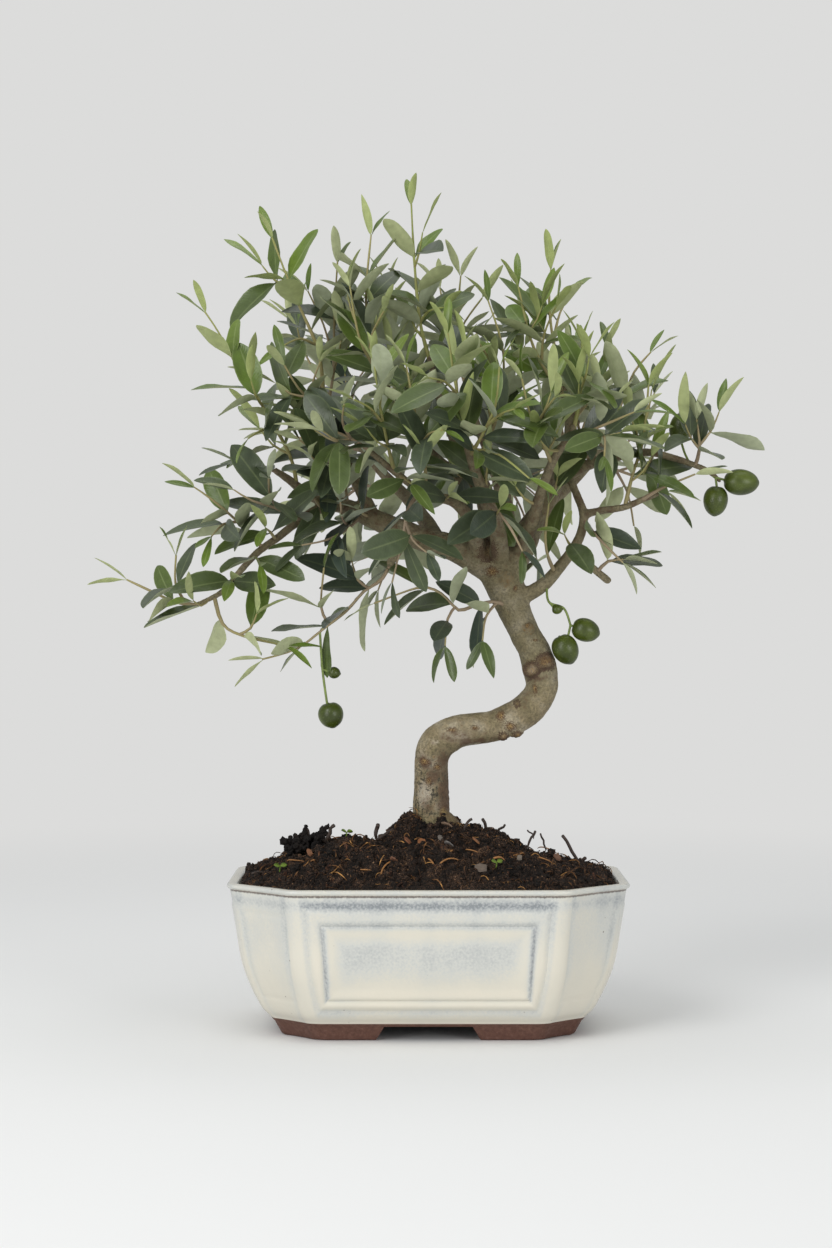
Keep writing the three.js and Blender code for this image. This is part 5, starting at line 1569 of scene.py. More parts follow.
# Heights of the raised frame and of its panel, and how far the frame stays off the corners.
FRAME = {"bottom": 18.5, "top": 80.0, "panel_bottom": 25.0, "panel_top": 69.0, "margin": 8.0}
PANEL_HALF = {"front": (58.0, 60.5), "side": (27.0, 31.5)}  # half widths at the bottom and the top
RELIEF = 1.1
CORNER_ROUND = 6.0
CHAMFER_HOLLOW = 0.9


def wall_profile(points, step):
    """The profile as a smooth curve, about step apart."""
    return [(p[0], p[2]) for p in smooth_line([(a, 0.0, b) for a, b in points], step)]


def pot_ring(inset, spacing):
    """The eight-sided outline, with for each point its outward direction and its place on a face."""
    x, y = HALF_LENGTH - inset, HALF_DEPTH - inset
    cut = CORNER_CUT - CUT_LOSS * inset
    corners = [
        (x, cut - y), (x, y - cut), (x - cut, y), (cut - x, y), (-x, y - cut), (-x, cut - y), (cut - x, -y),
        (x - cut, -y),
    ]
    kinds = ["side", "chamfer", "front", "chamfer"] * 2
    full = (2 * (HALF_DEPTH - CORNER_CUT), CORNER_CUT * math.sqrt(2), 2 * (HALF_LENGTH - CORNER_CUT))
    counts = {
        "side": round(full[0] / spacing), "chamfer": round(full[1] / spacing),
        "front": round(full[2] / spacing),
    }
    ring = []
    for i, kind in enumerate(kinds):
        a, b = np.array(corners[i]), np.array(corners[(i + 1) % 8])
        after = np.array(corners[(i + 2) % 8])
        way = unit(b - a)
        outward = np.array([way[1], -way[0]])
        soft = CORNER_ROUND
        start, end = a + way * soft, b - way * soft
        length = np.linalg.norm(b - a)
        for k in range(counts[kind] + 1):
            point = start + (end - start) * k / counts[kind]
            along = np.dot(point - (a + b) / 2, way)
            hollow = CHAMFER_HOLLOW * (1 - (2 * along / length) ** 2) if kind == "chamfer" else 0.0
            ring.append((point - outward * hollow, outward, kind, along, length / 2))
        next_way = unit(after - b)
        next_outward = np.array([next_way[1], -next_way[0]])
        corner_end = b + next_way * soft
        for k in range(1, 6):
            t = k / 6
            point = end * (1 - t) ** 2 + b * 2 * t * (1 - t) + corner_end * t * t
            ring.append((point, unit(outward * (1 - t) + next_outward * t), "edge", 0.0, 1.0))
    return ring


print("points round the pot, 4 mm apart:", len(pot_ring(0.0, 4.0)))

# %% [markdown]
# The relief follows from where a point lies on its face. Each long face has a raised frame round a
# slightly hollow panel, with a fine groove along both edges of the frame. Glaze gathers in them.

# %% Relief and pooling


def step_up(v):
    """0 below 0, 1 above 1 and a smooth climb between."""
    t = min(1.0, max(0.0, v))
    return t * t * (3 - 2 * t)


def relief(kind, along, half, z):
    """How far the face stands out at a place on it, and how thick the glaze pools there."""
    if kind == "chamfer":
        edge = half - abs(along)
        inner = min(edge - 7, z - 24, 74 - z)
        # The glaze on the chamfers is blue-grey but for its foot, and bluest beside the soft edges.
        pool = 0.2 * math.exp(-(((edge - 7) / 3.0) ** 2)) + 0.32 * step_up((z - 22) / 44)
        return -0.3 * math.exp(-((inner / 1.2) ** 2)), pool
    if kind == "edge":
        return 0.0, 0.05 + 0.3 * step_up((z - 40) / 36)
    frame_half = half - FRAME["margin"]
    low, high = PANEL_HALF[kind]
    panel_half = low + (high - low) * (z - FRAME["panel_bottom"]) / (
        FRAME["panel_top"] - FRAME["panel_bottom"]
    )
    outer = min(frame_half - abs(along), z - FRAME["bottom"], FRAME["top"] - z)
    inner = min(panel_half - abs(along), z - FRAME["panel_bottom"], FRAME["panel_top"] - z)
    raised = RELIEF * step_up(outer / 3.5) * step_up(-inner / 3)
    dish = 0.75 * (1 - step_up(inner / 9)) if inner > 0 else 0.0
    grooves = 0.35 * math.exp(-((outer / 0.8) ** 2)) + 0.45 * math.exp(-((inner / 0.8) ** 2))
    # Glaze gathers in the two grooves, most in their uprights, and lies thick in the panel's middle.
    nearest_end = min(z - FRAME["panel_bottom"], FRAME["panel_top"] - z)
    upright = 1.0 if panel_half - abs(along) < nearest_end else (0.75 if z > 50 else 0.25)
    at_side = 0.55 if frame_half - abs(along) < min(z - FRAME["bottom"], FRAME["top"] - z) else 1.0
    pool = 0.34 * at_side * math.exp(-(((outer + 0.2) / 2.6) ** 2))
    pool += 0.2 * math.exp(
        -(((outer + 3) / 3.4) ** 2)
    ) + 0.36 * step_up((z - 40) / 36) * step_up(-inner / 2)
    pool += upright * (
        0.5 * math.exp(-(((inner - 0.2) / 1.5) ** 2)) + 0.35 * math.exp(-(((inner - 0.4) / 3.0) ** 2))
    )
    pool += 0.55 * step_up((inner - 2) / 12) * (0.3 + 0.7 * step_up((z - 30) / 20))
    # Paler glaze on the lower raised frame, where it runs thin, and in a strip at z 29 along the panel's
    # foot, which is whiter glaze and also a painted highlight on the step that faces up.
    pool -= 0.15 * step_up(outer / 3) * step_up(-inner / 2) * step_up((72 - z) / 30) + 0.2 * math.exp(
        -(((z - 29) / 3) ** 2)
    ) * (inner > 0)
    return raised + dish - grooves, pool


print("frame stands out by", round(relief("front", 0.0, 79.75, 74.0)[0], 2), "mm")

# %% [markdown]
# The rings run from the underside up the outside, over the lip and down the inside, so the body is
# one closed skin. Each point stores how deep the glaze pools and how dark the line under the lip is:
# iron where the glaze broke, and painted shadow of the lip's overhang.

# %% Build the pot's body

WALL_SPACING = 1.15
GLAZE_END = 10.4  # the glaze stops just above the underside's edge
LIP_FOOT = 86.6
outer_rows = wall_profile(OUTSIDE, WALL_SPACING) + LIP
nearest = min(range(len(outer_rows)), key=lambda i: abs(outer_rows[i][0] - GLAZE_END))
outer_rows[nearest] = (GLAZE_END, float(np.interp(GLAZE_END, [8.6, 11.4], [26.6, 24.3])))
inner_rows = wall_profile(INSIDE, 3.0)[1:]
pot_points, pot_values, row_length = [], [], 0
for z, inset in outer_rows:
    outside = z < LIP_FOOT
    ring = pot_ring(inset, WALL_SPACING)
    row_length = len(ring)
    for point, outward, kind, along, half in ring:
        push, pool = relief(kind, along, half, z) if outside else (0.0, 0.0)
        if outside:
            pool += 0.26 * math.exp(-(((z - 81) / 3.2) ** 2))
        if 87.2 < z < 89.9:
            pool = 0.42
        # The dark line just under the lip: iron where the glaze broke, and painted shadow of the lip's
        # overhang.
        iron = 0.8 * math.exp(-(((z - 86.3) / 0.75) ** 2))
        pot_points.append((*(point + outward * push), z))
        pot_values.append((pool, iron))
for z, inset in inner_rows:
    for point, *_ in pot_ring(inset, WALL_SPACING):
        pot_points.append((*point, z))
        pot_values.append((0.1, 0.0))
rows = len(outer_rows) + len(inner_rows)
# The underside and the floor of the inside close the body.
body = mesh_object("body_of_pot", in_frame(pot_points), closed_wall(rows, row_length))
for i, key in enumerate(("pool", "iron")):
    give_attribute(body.data, key, [v[i] for v in pot_values])
print("wall of the pot:", rows, "rows of", row_length)

# %% [markdown]
# The feet are one band of clay under the floor, cut open in the middle of each side. They are joined
# to the body and the two drain holes are bored, both with boolean modifiers, as the solid was made.

# %% Feet and drain holes

UNDERSIDE, FOOT_TOP = 8.6, 10.1  # the feet reach a little way into the body
DRAIN_HOLES, DRAIN_RADIUS = (-46, 46), 8


def prism(name, outline_points, way, reach):
    """A closed prism of an outline of (across, z) that runs from -reach to reach along x or y."""
    points = []
    for end in (-reach, reach):
        points += [(a, end, z) if way == "y" else (end, a, z) for a, z in outline_points]
    count = len(outline_points)
    faces = [tuple(range(count)), tuple(reversed(range(count, 2 * count)))]
    faces += [(k, k + count, (k + 1) % count + count, (k + 1) % count) for k in range(count)]
    made = mesh_object(name, in_frame(points), faces, smooth=False)
    shell = bmesh.new()
    shell.from_mesh(made.data)
    bmesh.ops.recalc_face_normals(shell, faces=shell.faces)
    shell.to_mesh(made.data)
    shell.free()
    return made


def band_shell(name, levels, spacing):
    """A closed solid through rings of the outline at levels of (z, inset)."""
    points = [(*point, z) for z, inset in levels for point, *_ in pot_ring(inset, spacing)]
    faces = closed_wall(len(levels), len(points) // len(levels))
    return mesh_object(name, in_frame(points), faces, smooth=False)


def cut_or_join(target, tool, operation):
    """Applies a boolean modifier and removes the tool."""
    change = target.modifiers.new(operation, "BOOLEAN")
    change.operation, change.object, change.solver = operation, tool, "EXACT"
    baked(target)
    bpy.data.objects.remove(tool)


def foot_inset(z):
    """How far the feet lie inside the rim's outline, at a height."""
    return FEET["bottom"] + (FEET["top"] - FEET["bottom"]) * z / UNDERSIDE


# The sole's edge is worn, so its lowest rings lie further in.
soft_foot = [(z, foot_inset(z) + worn) for z, worn in ((0, 0.7), (0.5, 0.1), (1.2, 0), (FOOT_TOP, 0))]
feet = band_shell("feet_of_pot", soft_foot, 4.0)
inside = [(z, foot_inset(z) + FEET["band"]) for z in (-1, UNDERSIDE)]
cut_or_join(feet, band_shell("inside_of_feet", inside, 4.0), "DIFFERENCE")
for half, way in ((FEET["front"], "y"), (FEET["side"], "x")):
    top_half = half - FEET["slope"]
    shape = [(-half, -1), (half, -1), (top_half, UNDERSIDE), (-top_half, UNDERSIDE)]
    cut_or_join(feet, prism("gap_between_feet", shape, way, 130), "DIFFERENCE")
ease = feet.modifiers.new("worn edges", "BEVEL")
ease.width, ease.segments, ease.limit_method, ease.angle_limit = 0.5 * MM, 2, "ANGLE", math.radians(35)
baked(feet)
cut_or_join(body, feet, "UNION")
for x in DRAIN_HOLES:
    points = [(x + DRAIN_RADIUS * c, DRAIN_RADIUS * s, z) for z in (6, 20) for c, s in circle(48)]
    drill = mesh_object("drill", in_frame(points), closed_wall(2, 48), smooth=False)
    cut_or_join(body, drill, "DIFFERENCE")
print("feet joined, two drain holes bored:", triangles(body.data), "triangles")

# %% [markdown]
# The glaze is a thick cream with a satin gloss. Three things change its colour: how deep it pools,
# which turns it blue-grey; fine dark specks, where iron in the clay came through; and a thin dark brown
# line under the lip, which is iron where the glaze broke on the edge and painted shadow of the lip's
# overhang. Bare fired stoneware is reddish brown and dull.

# %% Glaze and clay

GLAZE_DEPTH = [(0.0, "#d8d2c3"), (0.25, "#d2cec1"), (0.5, "#c4c5c0"), (0.75, "#abaeae"), (1.0, "#868b8e")]


def cream_glaze():
    """Cream stoneware glaze: a soft, slightly wavy gloss over opaque cream that pools blue-grey."""
    made, tree = new_material("cream_glaze_pooling_blue")
    at = add(tree, "ShaderNodeTexCoord").outputs["Object"]
    pool = add(tree, "ShaderNodeAttribute", attribute_name="pool").outputs["Fac"]
    iron = add(tree, "ShaderNodeAttribute", attribute_name="iron").outputs["Fac"]
    # Runs are long down the wall: the noise is stretched along Z.
    stretched = add(
        tree, "ShaderNodeMapping", {"Vector": at, "Location": (0.31, 0.17, 0.43), "Scale": (1.0, 1.0, 0.4)},
    )
    runs = add(tree, "ShaderNodeTexNoise", {"Vector": stretched, "Scale": 1 / 0.028, "Detail": 3.0})
    mottle = add(tree, "ShaderNodeTexNoise", {"Vector": at, "Scale": 1 / 0.0014, "Detail": 5.0})
    patchy = add(tree, "ShaderNodeMapRange", {"Value": mottle, 1: 0.3, 2: 0.7, 3: 0.72, 4: 1.22})
    broken = add(tree, "ShaderNodeMath", {0: pool, 1: patchy}, operation="MULTIPLY")
    depth = add(tree, "ShaderNodeMath", {0: runs, 1: 0.8, 2: broken}, operation="MULTIPLY_ADD")
    shown = add(tree, "ShaderNodeMapRange", {"Value": depth, 1: 0.22, 2: 1.5, 3: 0.0, 4: 1.0})
    tint = add(tree, "ShaderNodeValToRGB", {"Fac": shown}, stops=GLAZE_DEPTH)
    specks = add(tree, "ShaderNodeTexVoronoi", {"Vector": at, "Scale": 1 / 0.009})
    rare = add(tree, "ShaderNodeMapRange", {"Value": specks, 1: 0.035, 2: 0.07, 3: 0.75, 4: 0.0})
    chosen = add(tree, "ShaderNodeMapRange", {"Value": runs, 1: 0.5, 2: 0.58, 3: 0.0, 4: 1.0})
    dots = add(tree, "ShaderNodeMath", {0: rare, 1: chosen}, operation="MULTIPLY")
    # The line under the lip is iron, darkened further as painted shadow of the lip's overhang.
    lined = add(tree, "ShaderNodeMath", {0: mottle, 1: 0.8, 2: iron}, operation="MULTIPLY_ADD")
    edge = add(tree, "ShaderNodeMapRange", {"Value": lined, 1: 0.65, 2: 1.05, 3: 0.0, 4: 0.8})
    dark = add(tree, "ShaderNodeMath", {0: dots, 1: edge}, operation="MAXIMUM")
    colour = add(tree, "ShaderNodeMix", {0: dark, 6: tint, 7: "#4c3b33"}, data_type="RGBA")
    waves = add(tree, "ShaderNodeTexNoise", {"Vector": at, "Scale": 1 / 0.006, "Detail": 2.0})
    bump = add(tree, "ShaderNodeBump", {"Strength": 0.25, "Distance": 0.0008, "Height": waves})
    return with_skin(made, {"Base Color": colour, "Roughness": 0.22, "IOR": 1.5, "Normal": bump})


def bare_stoneware():
    """Fired clay without glaze: reddish brown, dull, with fine grit."""
    made, tree = new_material("bare_brown_stoneware")
    at = add(tree, "ShaderNodeTexCoord").outputs["Object"]
    grit = add(tree, "ShaderNodeTexNoise", {"Vector": at, "Scale": 1 / 0.0022, "Detail": 6.0})
    colour = add(
        tree, "ShaderNodeValToRGB", {"Fac": grit},
        stops=[(0.3, "#523429"), (0.55, "#5f3f33"), (0.75, "#6f4f43")],
    )
    bump = add(tree, "ShaderNodeBump", {"Strength": 0.4, "Distance": 0.0005, "Height": grit})
    return with_skin(made, {"Base Color": colour, "Roughness": 0.68, "Normal": bump})


body.name = "glazed_pot"
body.data.materials.clear()
body.data.materials.append(cream_glaze())
body.data.materials.append(bare_stoneware())
bare = []
for face in body.data.polygons:
    x, y, z = (np.array(face.center) - ORIGIN) / MM
    faces_in = face.normal.x * x + face.normal.y * y < -0.05 * math.hypot(x, y) and z < 86
    bare.append(int(z < GLAZE_END or faces_in or (face.normal.z > 0.7 and z < 30)))
body.data.polygons.foreach_set("material_index", bare)
body.data.polygons.foreach_set("use_smooth", [True] * len(body.data.polygons))
body.data.set_sharp_from_angle(angle=math.radians(38))
finished(body, "glaze", "pot")

# %% [markdown]
# ## Peat
#
# Potting peat is a dark crumbly mass of fibres, heaped towards the trunk. The heap is one closed body
# whose top follows the height of the solid, roughened by noise. Crumbs, bits of bark and torn fibres
# lie on it. They are scattered by one Geometry Nodes tree, which takes its shapes from a collection.

# %% Height of the soil

# The solid's heap: its height at the rim, its rise, the collar round the trunk and the pot's wall.
SOIL_RIM, SOIL_RISE, COLLAR, COLLAR_SPREAD, TRUNK_X, POT_WALL = 86.5, 29.0, 9.0, 24.0, 2.0, 6.5
WALL_GAP = 0.7  # the peat stays this far off the wall


def soil_height(x, y):
    """The height of the solid's soil: a heap that drops to the wall, a collar at the trunk, and lumps."""
    out = min(
        1.0, (abs(x / (HALF_LENGTH - POT_WALL)) ** 3 + abs(y / (HALF_DEPTH - POT_WALL)) ** 3) ** (1 / 3),
    )
    heap = COLLAR * math.exp(-(((x - TRUNK_X) ** 2 + y * y) / COLLAR_SPREAD**2))
    lumps = math.sin(x / 5.1 + 1.3 * math.sin(y / 7.7)) + math.sin(y / 4.3 + 1.7 * math.sin(x / 6.1))
    return SOIL_RIM + SOIL_RISE * (1 - out**2.2) + heap + lumps * (1.3 - 0.9 * out)


def inner_inset(z):
    """How far the inside of the wall lies in from the rim's outline, at a height."""
    heights, insets = zip(*reversed(INSIDE))
    return float(np.interp(z, heights, insets))


def soil_reach(angle, z):
    """From the middle to the edge of the soil in a direction, just inside the wall."""
    inset = inner_inset(z) + WALL_GAP
    x, y, cut = HALF_LENGTH - inset, HALF_DEPTH - inset, CORNER_CUT - CUT_LOSS * inset
    c, s = abs(math.cos(angle)), abs(math.sin(angle))
    return min(x / max(c, 1e-6), y / max(s, 1e-6), (x + y - cut) / (c + s)) - 0.4


print("soil height at the trunk:", round(soil_height(0, 0), 1), "mm")

# %% [markdown]
# The heap is a disc of rings and spokes that reaches to the wall, with mounds, hollows and noise
# added to its height. Its edge runs on down the wall and under, so it is a closed body.

# %% The heap

SPOKES, RINGS = 320, 88
# Mounds of loose peat: x, y, reach and height.
MOUNDS = [
    (-13, -4, 8, 6.5), (11, -12, 7, 3), (28, -6, 9, 2.0), (-98, -6, 9, 2), (-109, 2, 6, 4.5),
    (50, -14, 6, 3.5), (-42, -8, 7, 2.0), (44, -12, 2.6, 3.5), (73, -17, 3.4, 6.5), (60, -17, 2.4, 3.5),
    (86, -14, 2.6, 4.0), (-34, -12, 2.2, 3.5), (32, -8, 2.4, 3.0), (98, -10, 2.4, 3.0),
]
# Hollows where it was pressed down or washed out, in the same four numbers.
HOLLOWS = [
    (-31, -2, 10, 7), (-31, 18, 12, 8.5), (-31, 40, 14, 5), (-27, -23, 10, 7.5), (68, 4, 13, 6),
    (72, 24, 16, 7), (70, 46, 16, 4), (66, -17, 15, 6.0),
]
soil_points, soil_faces = [(0.0, 0.0, soil_height(0, 0))], []
for i in range(1, RINGS + 1):
    share = i / RINGS
    for k in range(SPOKES):
        angle = 2 * math.pi * k / SPOKES
        reach = soil_reach(angle, SOIL_RIM) * share
        x, y = reach * math.cos(angle), reach * math.sin(angle)
        z = soil_height(x, y)
        near_wall = min(1.0, (1 - share) * 12)
        spot = Vector((x / 7, y / 7, 0.3))
        rough_here = 3.0 * noise.fractal(spot, 0.6, 2.0, 5) + 1.1 * noise.fractal(spot * 5.1, 0.7, 2.0, 3)
        # Some of it has crept up the wall and lies level with the rim.
        z += (0.35 + 0.65 * near_wall) * rough_here + 2.6 * math.exp(-(((1 - share) * 8) ** 2))
        z += sum(high * math.exp(-((x - a) ** 2 + (y - b) ** 2) / wide**2) for a, b, wide, high in MOUNDS)
        z -= sum(deep * math.exp(-((x - a) ** 2 + (y - b) ** 2) / wide**2) for a, b, wide, deep in HOLLOWS)
        soil_points.append((x, y, z))
for k in range(SPOKES):
    soil_faces.append((0, 1 + k, 1 + (k + 1) % SPOKES))
for i in range(RINGS - 1):
    for k in range(SPOKES):
        a, b = 1 + i * SPOKES + k, 1 + i * SPOKES + (k + 1) % SPOKES
        soil_faces.append((a, a + SPOKES, b + SPOKES, b))
edge_start = 1 + (RINGS - 1) * SPOKES
for z in (70, 50, 34, 24, 18.3):
    start = len(soil_points)
    for k in range(SPOKES):
        angle = 2 * math.pi * k / SPOKES
        reach = soil_reach(angle, z)
        soil_points.append((reach * math.cos(angle), reach * math.sin(angle), z))
    for k in range(SPOKES):
        a, b = edge_start + k, edge_start + (k + 1) % SPOKES
        soil_faces.append((a, start + k, start + (k + 1) % SPOKES, b))
    edge_start = start
soil_faces.append(tuple(reversed(range(edge_start, edge_start + SPOKES))))

print("heap:", len(soil_points), "points, up to", round(max(p[2] for p in soil_points), 1), "mm high")

# %% [markdown]
# Damp peat is nearly black with brown fibres, and crumbs that have dried on top are paler. Its grain
# is under a millimetre. One function makes the peat, the fibres and the bark chips, because all are
# plant matter with the same dull damp surface in other browns.

# %% Damp peat

PEAT_TONES = [(0.0, "#060504"), (0.25, "#120e0b"), (0.5, "#2a1f18"), (0.75, "#584232"), (1.0, "#8c6d52")]


def damp_peat(name, tones, size=0.0008):
    """Damp peat and what lies in it: very dark, fibrous, with no shine but the dampness of its grains."""
    made, tree = new_material(name)
    at = add(tree, "ShaderNodeTexCoord").outputs["Object"]
    grains = add(tree, "ShaderNodeTexNoise", {"Vector": at, "Scale": 1 / size, "Detail": 6.0})
    broad = add(tree, "ShaderNodeTexNoise", {"Vector": at, "Scale": 1 / 0.009, "Detail": 3.0})
    # Each loose bit has a tone of its own, and the heap under them has none, so it stays dark.
    own = add(tree, "ShaderNodeAttribute", attribute_name="tone").outputs["Fac"]
    squared = add(tree, "ShaderNodeMath", {0: own, 1: 3.5}, operation="POWER")
    with_own = add(tree, "ShaderNodeMath", {0: squared, 1: 0.4, 2: grains}, operation="MULTIPLY_ADD")
    mixed = add(tree, "ShaderNodeMath", {0: broad, 1: 0.6, 2: with_own}, operation="MULTIPLY_ADD")
    spread = add(tree, "ShaderNodeMapRange", {"Value": mixed, 1: 0.58, 2: 1.16, 3: 0.0, 4: 1.0})
    colour = add(tree, "ShaderNodeValToRGB", {"Fac": spread}, stops=tones)
    bump = add(tree, "ShaderNodeBump", {"Strength": 0.8, "Distance": 0.001, "Height": grains})
    return with_skin(made, {"Base Color": colour, "Roughness": 0.86, "IOR": 1.33, "Normal": bump})


peat = damp_peat("damp_peat", PEAT_TONES)
heap = mesh_object("heap_of_peat", in_frame(soil_points), soil_faces, [peat])
on_top = np.zeros(len(soil_points))
on_top[: 1 + (RINGS - 1) * SPOKES] = 1
give_attribute(heap.data, "on_top", on_top)
finished(heap, "soil", "soil")

# %% [markdown]
# The bits that lie on the heap are made once each: four lumpy crumbs, two chips of bark and three
# torn fibres.

# %% Bits of peat


def crumb(name, squeeze):
    """A lumpy crumb of 20 faces, about one unit wide."""
    ball = bmesh.new()
    bmesh.ops.create_icosphere(ball, subdivisions=1, radius=0.5)
    for v in ball.verts:
        v.co *= 1 + 0.6 * noise.noise(v.co * 3 + Vector((squeeze * 7, 0, 0)))
        v.co.y *= 0.55 + 0.3 * squeeze
        v.co.z *= squeeze
    mesh = bpy.data.meshes.new(name)
    ball.to_mesh(mesh)
    ball.free()
    return mesh


def chip(name, long, wide, thick):
    """A broken chip: a six-sided slab with uneven ends."""
    points = []
    for z in (-thick, thick):
        for x, y in ((-0.5, -0.3), (-0.1, -0.5), (0.45, -0.35), (0.5, 0.25), (0.0, 0.5), (-0.42, 0.3)):
            points.append((x * long, y * wide, z * (1 + 0.5 * x) + 0.08 * y))
    faces = [(5, 4, 3, 2, 1, 0), (6, 7, 8, 9, 10, 11), *wall_faces(2, 6)]
    mesh = bpy.data.meshes.new(name)
    mesh.from_pydata(points, [], faces)
    return mesh


def thread_tube(points, radius, sides=3, ends=(0.45, 0.45)):
    """Points and faces of a closed thin tube along a line. Its ends have these shares of the radius."""
    line = np.array(points, float)
    ahead = np.gradient(line, axis=0)
    ahead /= np.linalg.norm(ahead, axis=1)[:, None]
    tube_points = []
    for i, centre in enumerate(line):
        across = unit(np.cross(ahead[i], (0.3, 0.2, 0.93)))
        over = np.cross(ahead[i], across)
        share = i / (len(line) - 1)
        blunt = ends[0] + (ends[1] - ends[0]) * share
        thin = radius * (blunt + (1 - blunt) * math.sin(math.pi * share))
        tube_points += [centre + (across * c + over * s) * thin for c, s in circle(sides)]
    return tube_points, closed_wall(len(line), sides)


def fibre(name, bow, twist):
    """A torn fibre, one unit long, bowed up off the ground."""
    line = [(t - 0.5, twist * math.sin(3.5 * t), bow * math.sin(math.pi * t)) for t in np.linspace(0, 1, 6)]
    points, faces = thread_tube(line, 0.034)
    mesh = bpy.data.meshes.new(name)
    mesh.from_pydata([tuple(p) for p in points], [], faces)
    return mesh


def shelf(name, meshes):
    """A collection of template objects that isn't linked to the scene."""
    made = bpy.data.collections.new(name)
    for mesh in meshes:
        made.objects.link(bpy.data.objects.new(mesh.name, mesh))
    return made


crumbs = shelf("crumbs", [crumb(f"crumb_{i}", s) for i, s in enumerate((0.9, 0.7, 0.55, 1.0))])
chips = shelf("chips", [chip("chip_long", 1.0, 0.35, 0.07), chip("chip_broad", 0.8, 0.6, 0.06)])
fibres = shelf(
    "fibres",
    [fibre(f"fibre_{i}", b, t) for i, (b, t) in enumerate(((0.2, 0.1), (0.35, -0.15), (0.08, 0.25)))],
)


# %% [markdown]
# One tree scatters them over the top of the heap with a fixed seed. Per square metre is how many
# there are, the two sizes are in metres, and Flat says how far each bit lies along the ground instead
# of standing anyhow.

# %% The tree that scatters bits

HALF_TURN = 3.1416


def scattering_tree():
    """The tree that sets bits on the ground, small ones most often, and gives each its tone."""
    tree, given = new_tree(
        "scatter_on_peat",
        {
            "Ground": "Geometry", "Bits": "Collection", "Material": "Material", "Per square metre": "Float",
            "Least size": "Float", "Most size": "Float", "Flat": "Float", "Seed": "Int",
        },
    )
    top = add(tree, "GeometryNodeInputNamedAttribute", {"Name": "on_top"}, data_type="FLOAT")
    spots = add(
        tree, "GeometryNodeDistributePointsOnFaces",
        {
            "Mesh": given["Ground"], "Selection": top, "Density": given["Per square metre"],
            "Seed": given["Seed"],
        },
    )
    kinds = add(
        tree, "GeometryNodeCollectionInfo",
        {"Collection": given["Bits"], "Separate Children": True, "Reset Children": True},
    )
    # Lying bits keep the ground's slope and turn about it. Others are also tipped over.
    tip = add(tree, "ShaderNodeMath", {0: 1.0, 1: given["Flat"]}, operation="SUBTRACT")
    most_tip = add(tree, "ShaderNodeMath", {0: tip, 1: 3.0}, operation="MULTIPLY")
    least_tip = add(tree, "ShaderNodeMath", {0: tip, 1: -3.0}, operation="MULTIPLY")
    least = add(tree, "ShaderNodeCombineXYZ", {0: least_tip, 1: least_tip, 2: -HALF_TURN})
    most = add(tree, "ShaderNodeCombineXYZ", {0: most_tip, 1: most_tip, 2: HALF_TURN})
    turn = add(
        tree, "FunctionNodeRandomValue", {0: least, 1: most, "Seed": given["Seed"]},
        data_type="FLOAT_VECTOR",
    )
    slope = add(
        tree, "FunctionNodeRotateRotation", {0: spots.outputs["Rotation"], 1: turn}, rotation_space="LOCAL",
    )
    # Small bits outnumber large ones: an even random share is raised to a power before it picks the size.
    even = add(tree, "FunctionNodeRandomValue", {"Seed": given["Seed"]}, data_type="FLOAT")
    few_large = add(tree, "ShaderNodeMath", {0: even, 1: 2.6}, operation="POWER")
    size = add(
        tree, "ShaderNodeMapRange", {"Value": few_large, 3: given["Least size"], 4: given["Most size"]},
    )
    laid = add(
        tree, "GeometryNodeInstanceOnPoints",
        {
            "Points": spots.outputs["Points"], "Instance": kinds, "Pick Instance": True, "Rotation": slope,
            "Scale": size,
        },
    )
    # Large loose crumbs are dark. A chip that lies flat may be pale at any size.
    drawn = add(tree, "FunctionNodeRandomValue", {"Seed": 77}, data_type="FLOAT")
    lump = add(tree, "ShaderNodeMath", {0: few_large, 1: tip}, operation="MULTIPLY")
    dimmed = add(tree, "ShaderNodeMath", {0: lump, 1: -0.95, 2: 1.0}, operation="MULTIPLY_ADD")
    tone = add(tree, "ShaderNodeMath", {0: drawn, 1: dimmed}, operation="MULTIPLY")
    toned = add(
        tree, "GeometryNodeStoreNamedAttribute", {"Geometry": laid, "Name": "tone", "Value": tone},
        data_type="FLOAT", domain="INSTANCE",
    )
    whole = add(tree, "GeometryNodeRealizeInstances", {0: toned})
    coated = add(tree, "GeometryNodeSetMaterial", {0: whole, "Material": given["Material"]})
    add(tree, "NodeGroupOutput", {0: coated})
    return tree


scatter_tree = scattering_tree()
print("tree that scatters bits:", len(scatter_tree.nodes), "nodes")

# %% Scatter the bits

fibre_brown = damp_peat(
    "torn_brown_fibre", [(0.1, "#1d140e"), (0.4, "#3a281b"), (0.7, "#6e4c2d"), (1.0, "#b98a52")], 0.004,
)
bark_chip = damp_peat(
    "bark_chip", [(0.1, "#1a120e"), (0.4, "#33221a"), (0.7, "#5c3c29"), (1.0, "#8a6143")], 0.002,
)


def scatter(name, bits, material, density, least, most, flat, seed_number):
    """Scatters one kind of bit over the heap, with sizes in millimetres."""
    ground = bpy.data.objects.new("ground", heap.data.copy())
    bpy.context.scene.collection.objects.link(ground)
    made = grow(
        scatter_tree, ground, name,
        {
            "Bits": bits, "Material": material, "Per square metre": float(density),
            "Least size": least * MM, "Most size": most * MM, "Flat": flat, "Seed": seed_number,
        },
    )
    return finished(made, "soil")


scatter("crumbs_of_peat", crumbs, peat, 190000, 0.9, 4.8, 0.0, 3)
scatter("short_shreds", fibres, fibre_brown, 30000, 2.0, 6.0, 0.35, 5)
scatter("torn_fibres", fibres, fibre_brown, 16000, 4.0, 13.0, 0.9, 8)
scatter("bark_chips", chips, bark_chip, 9000, 1.8, 7.0, 0.55, 21)

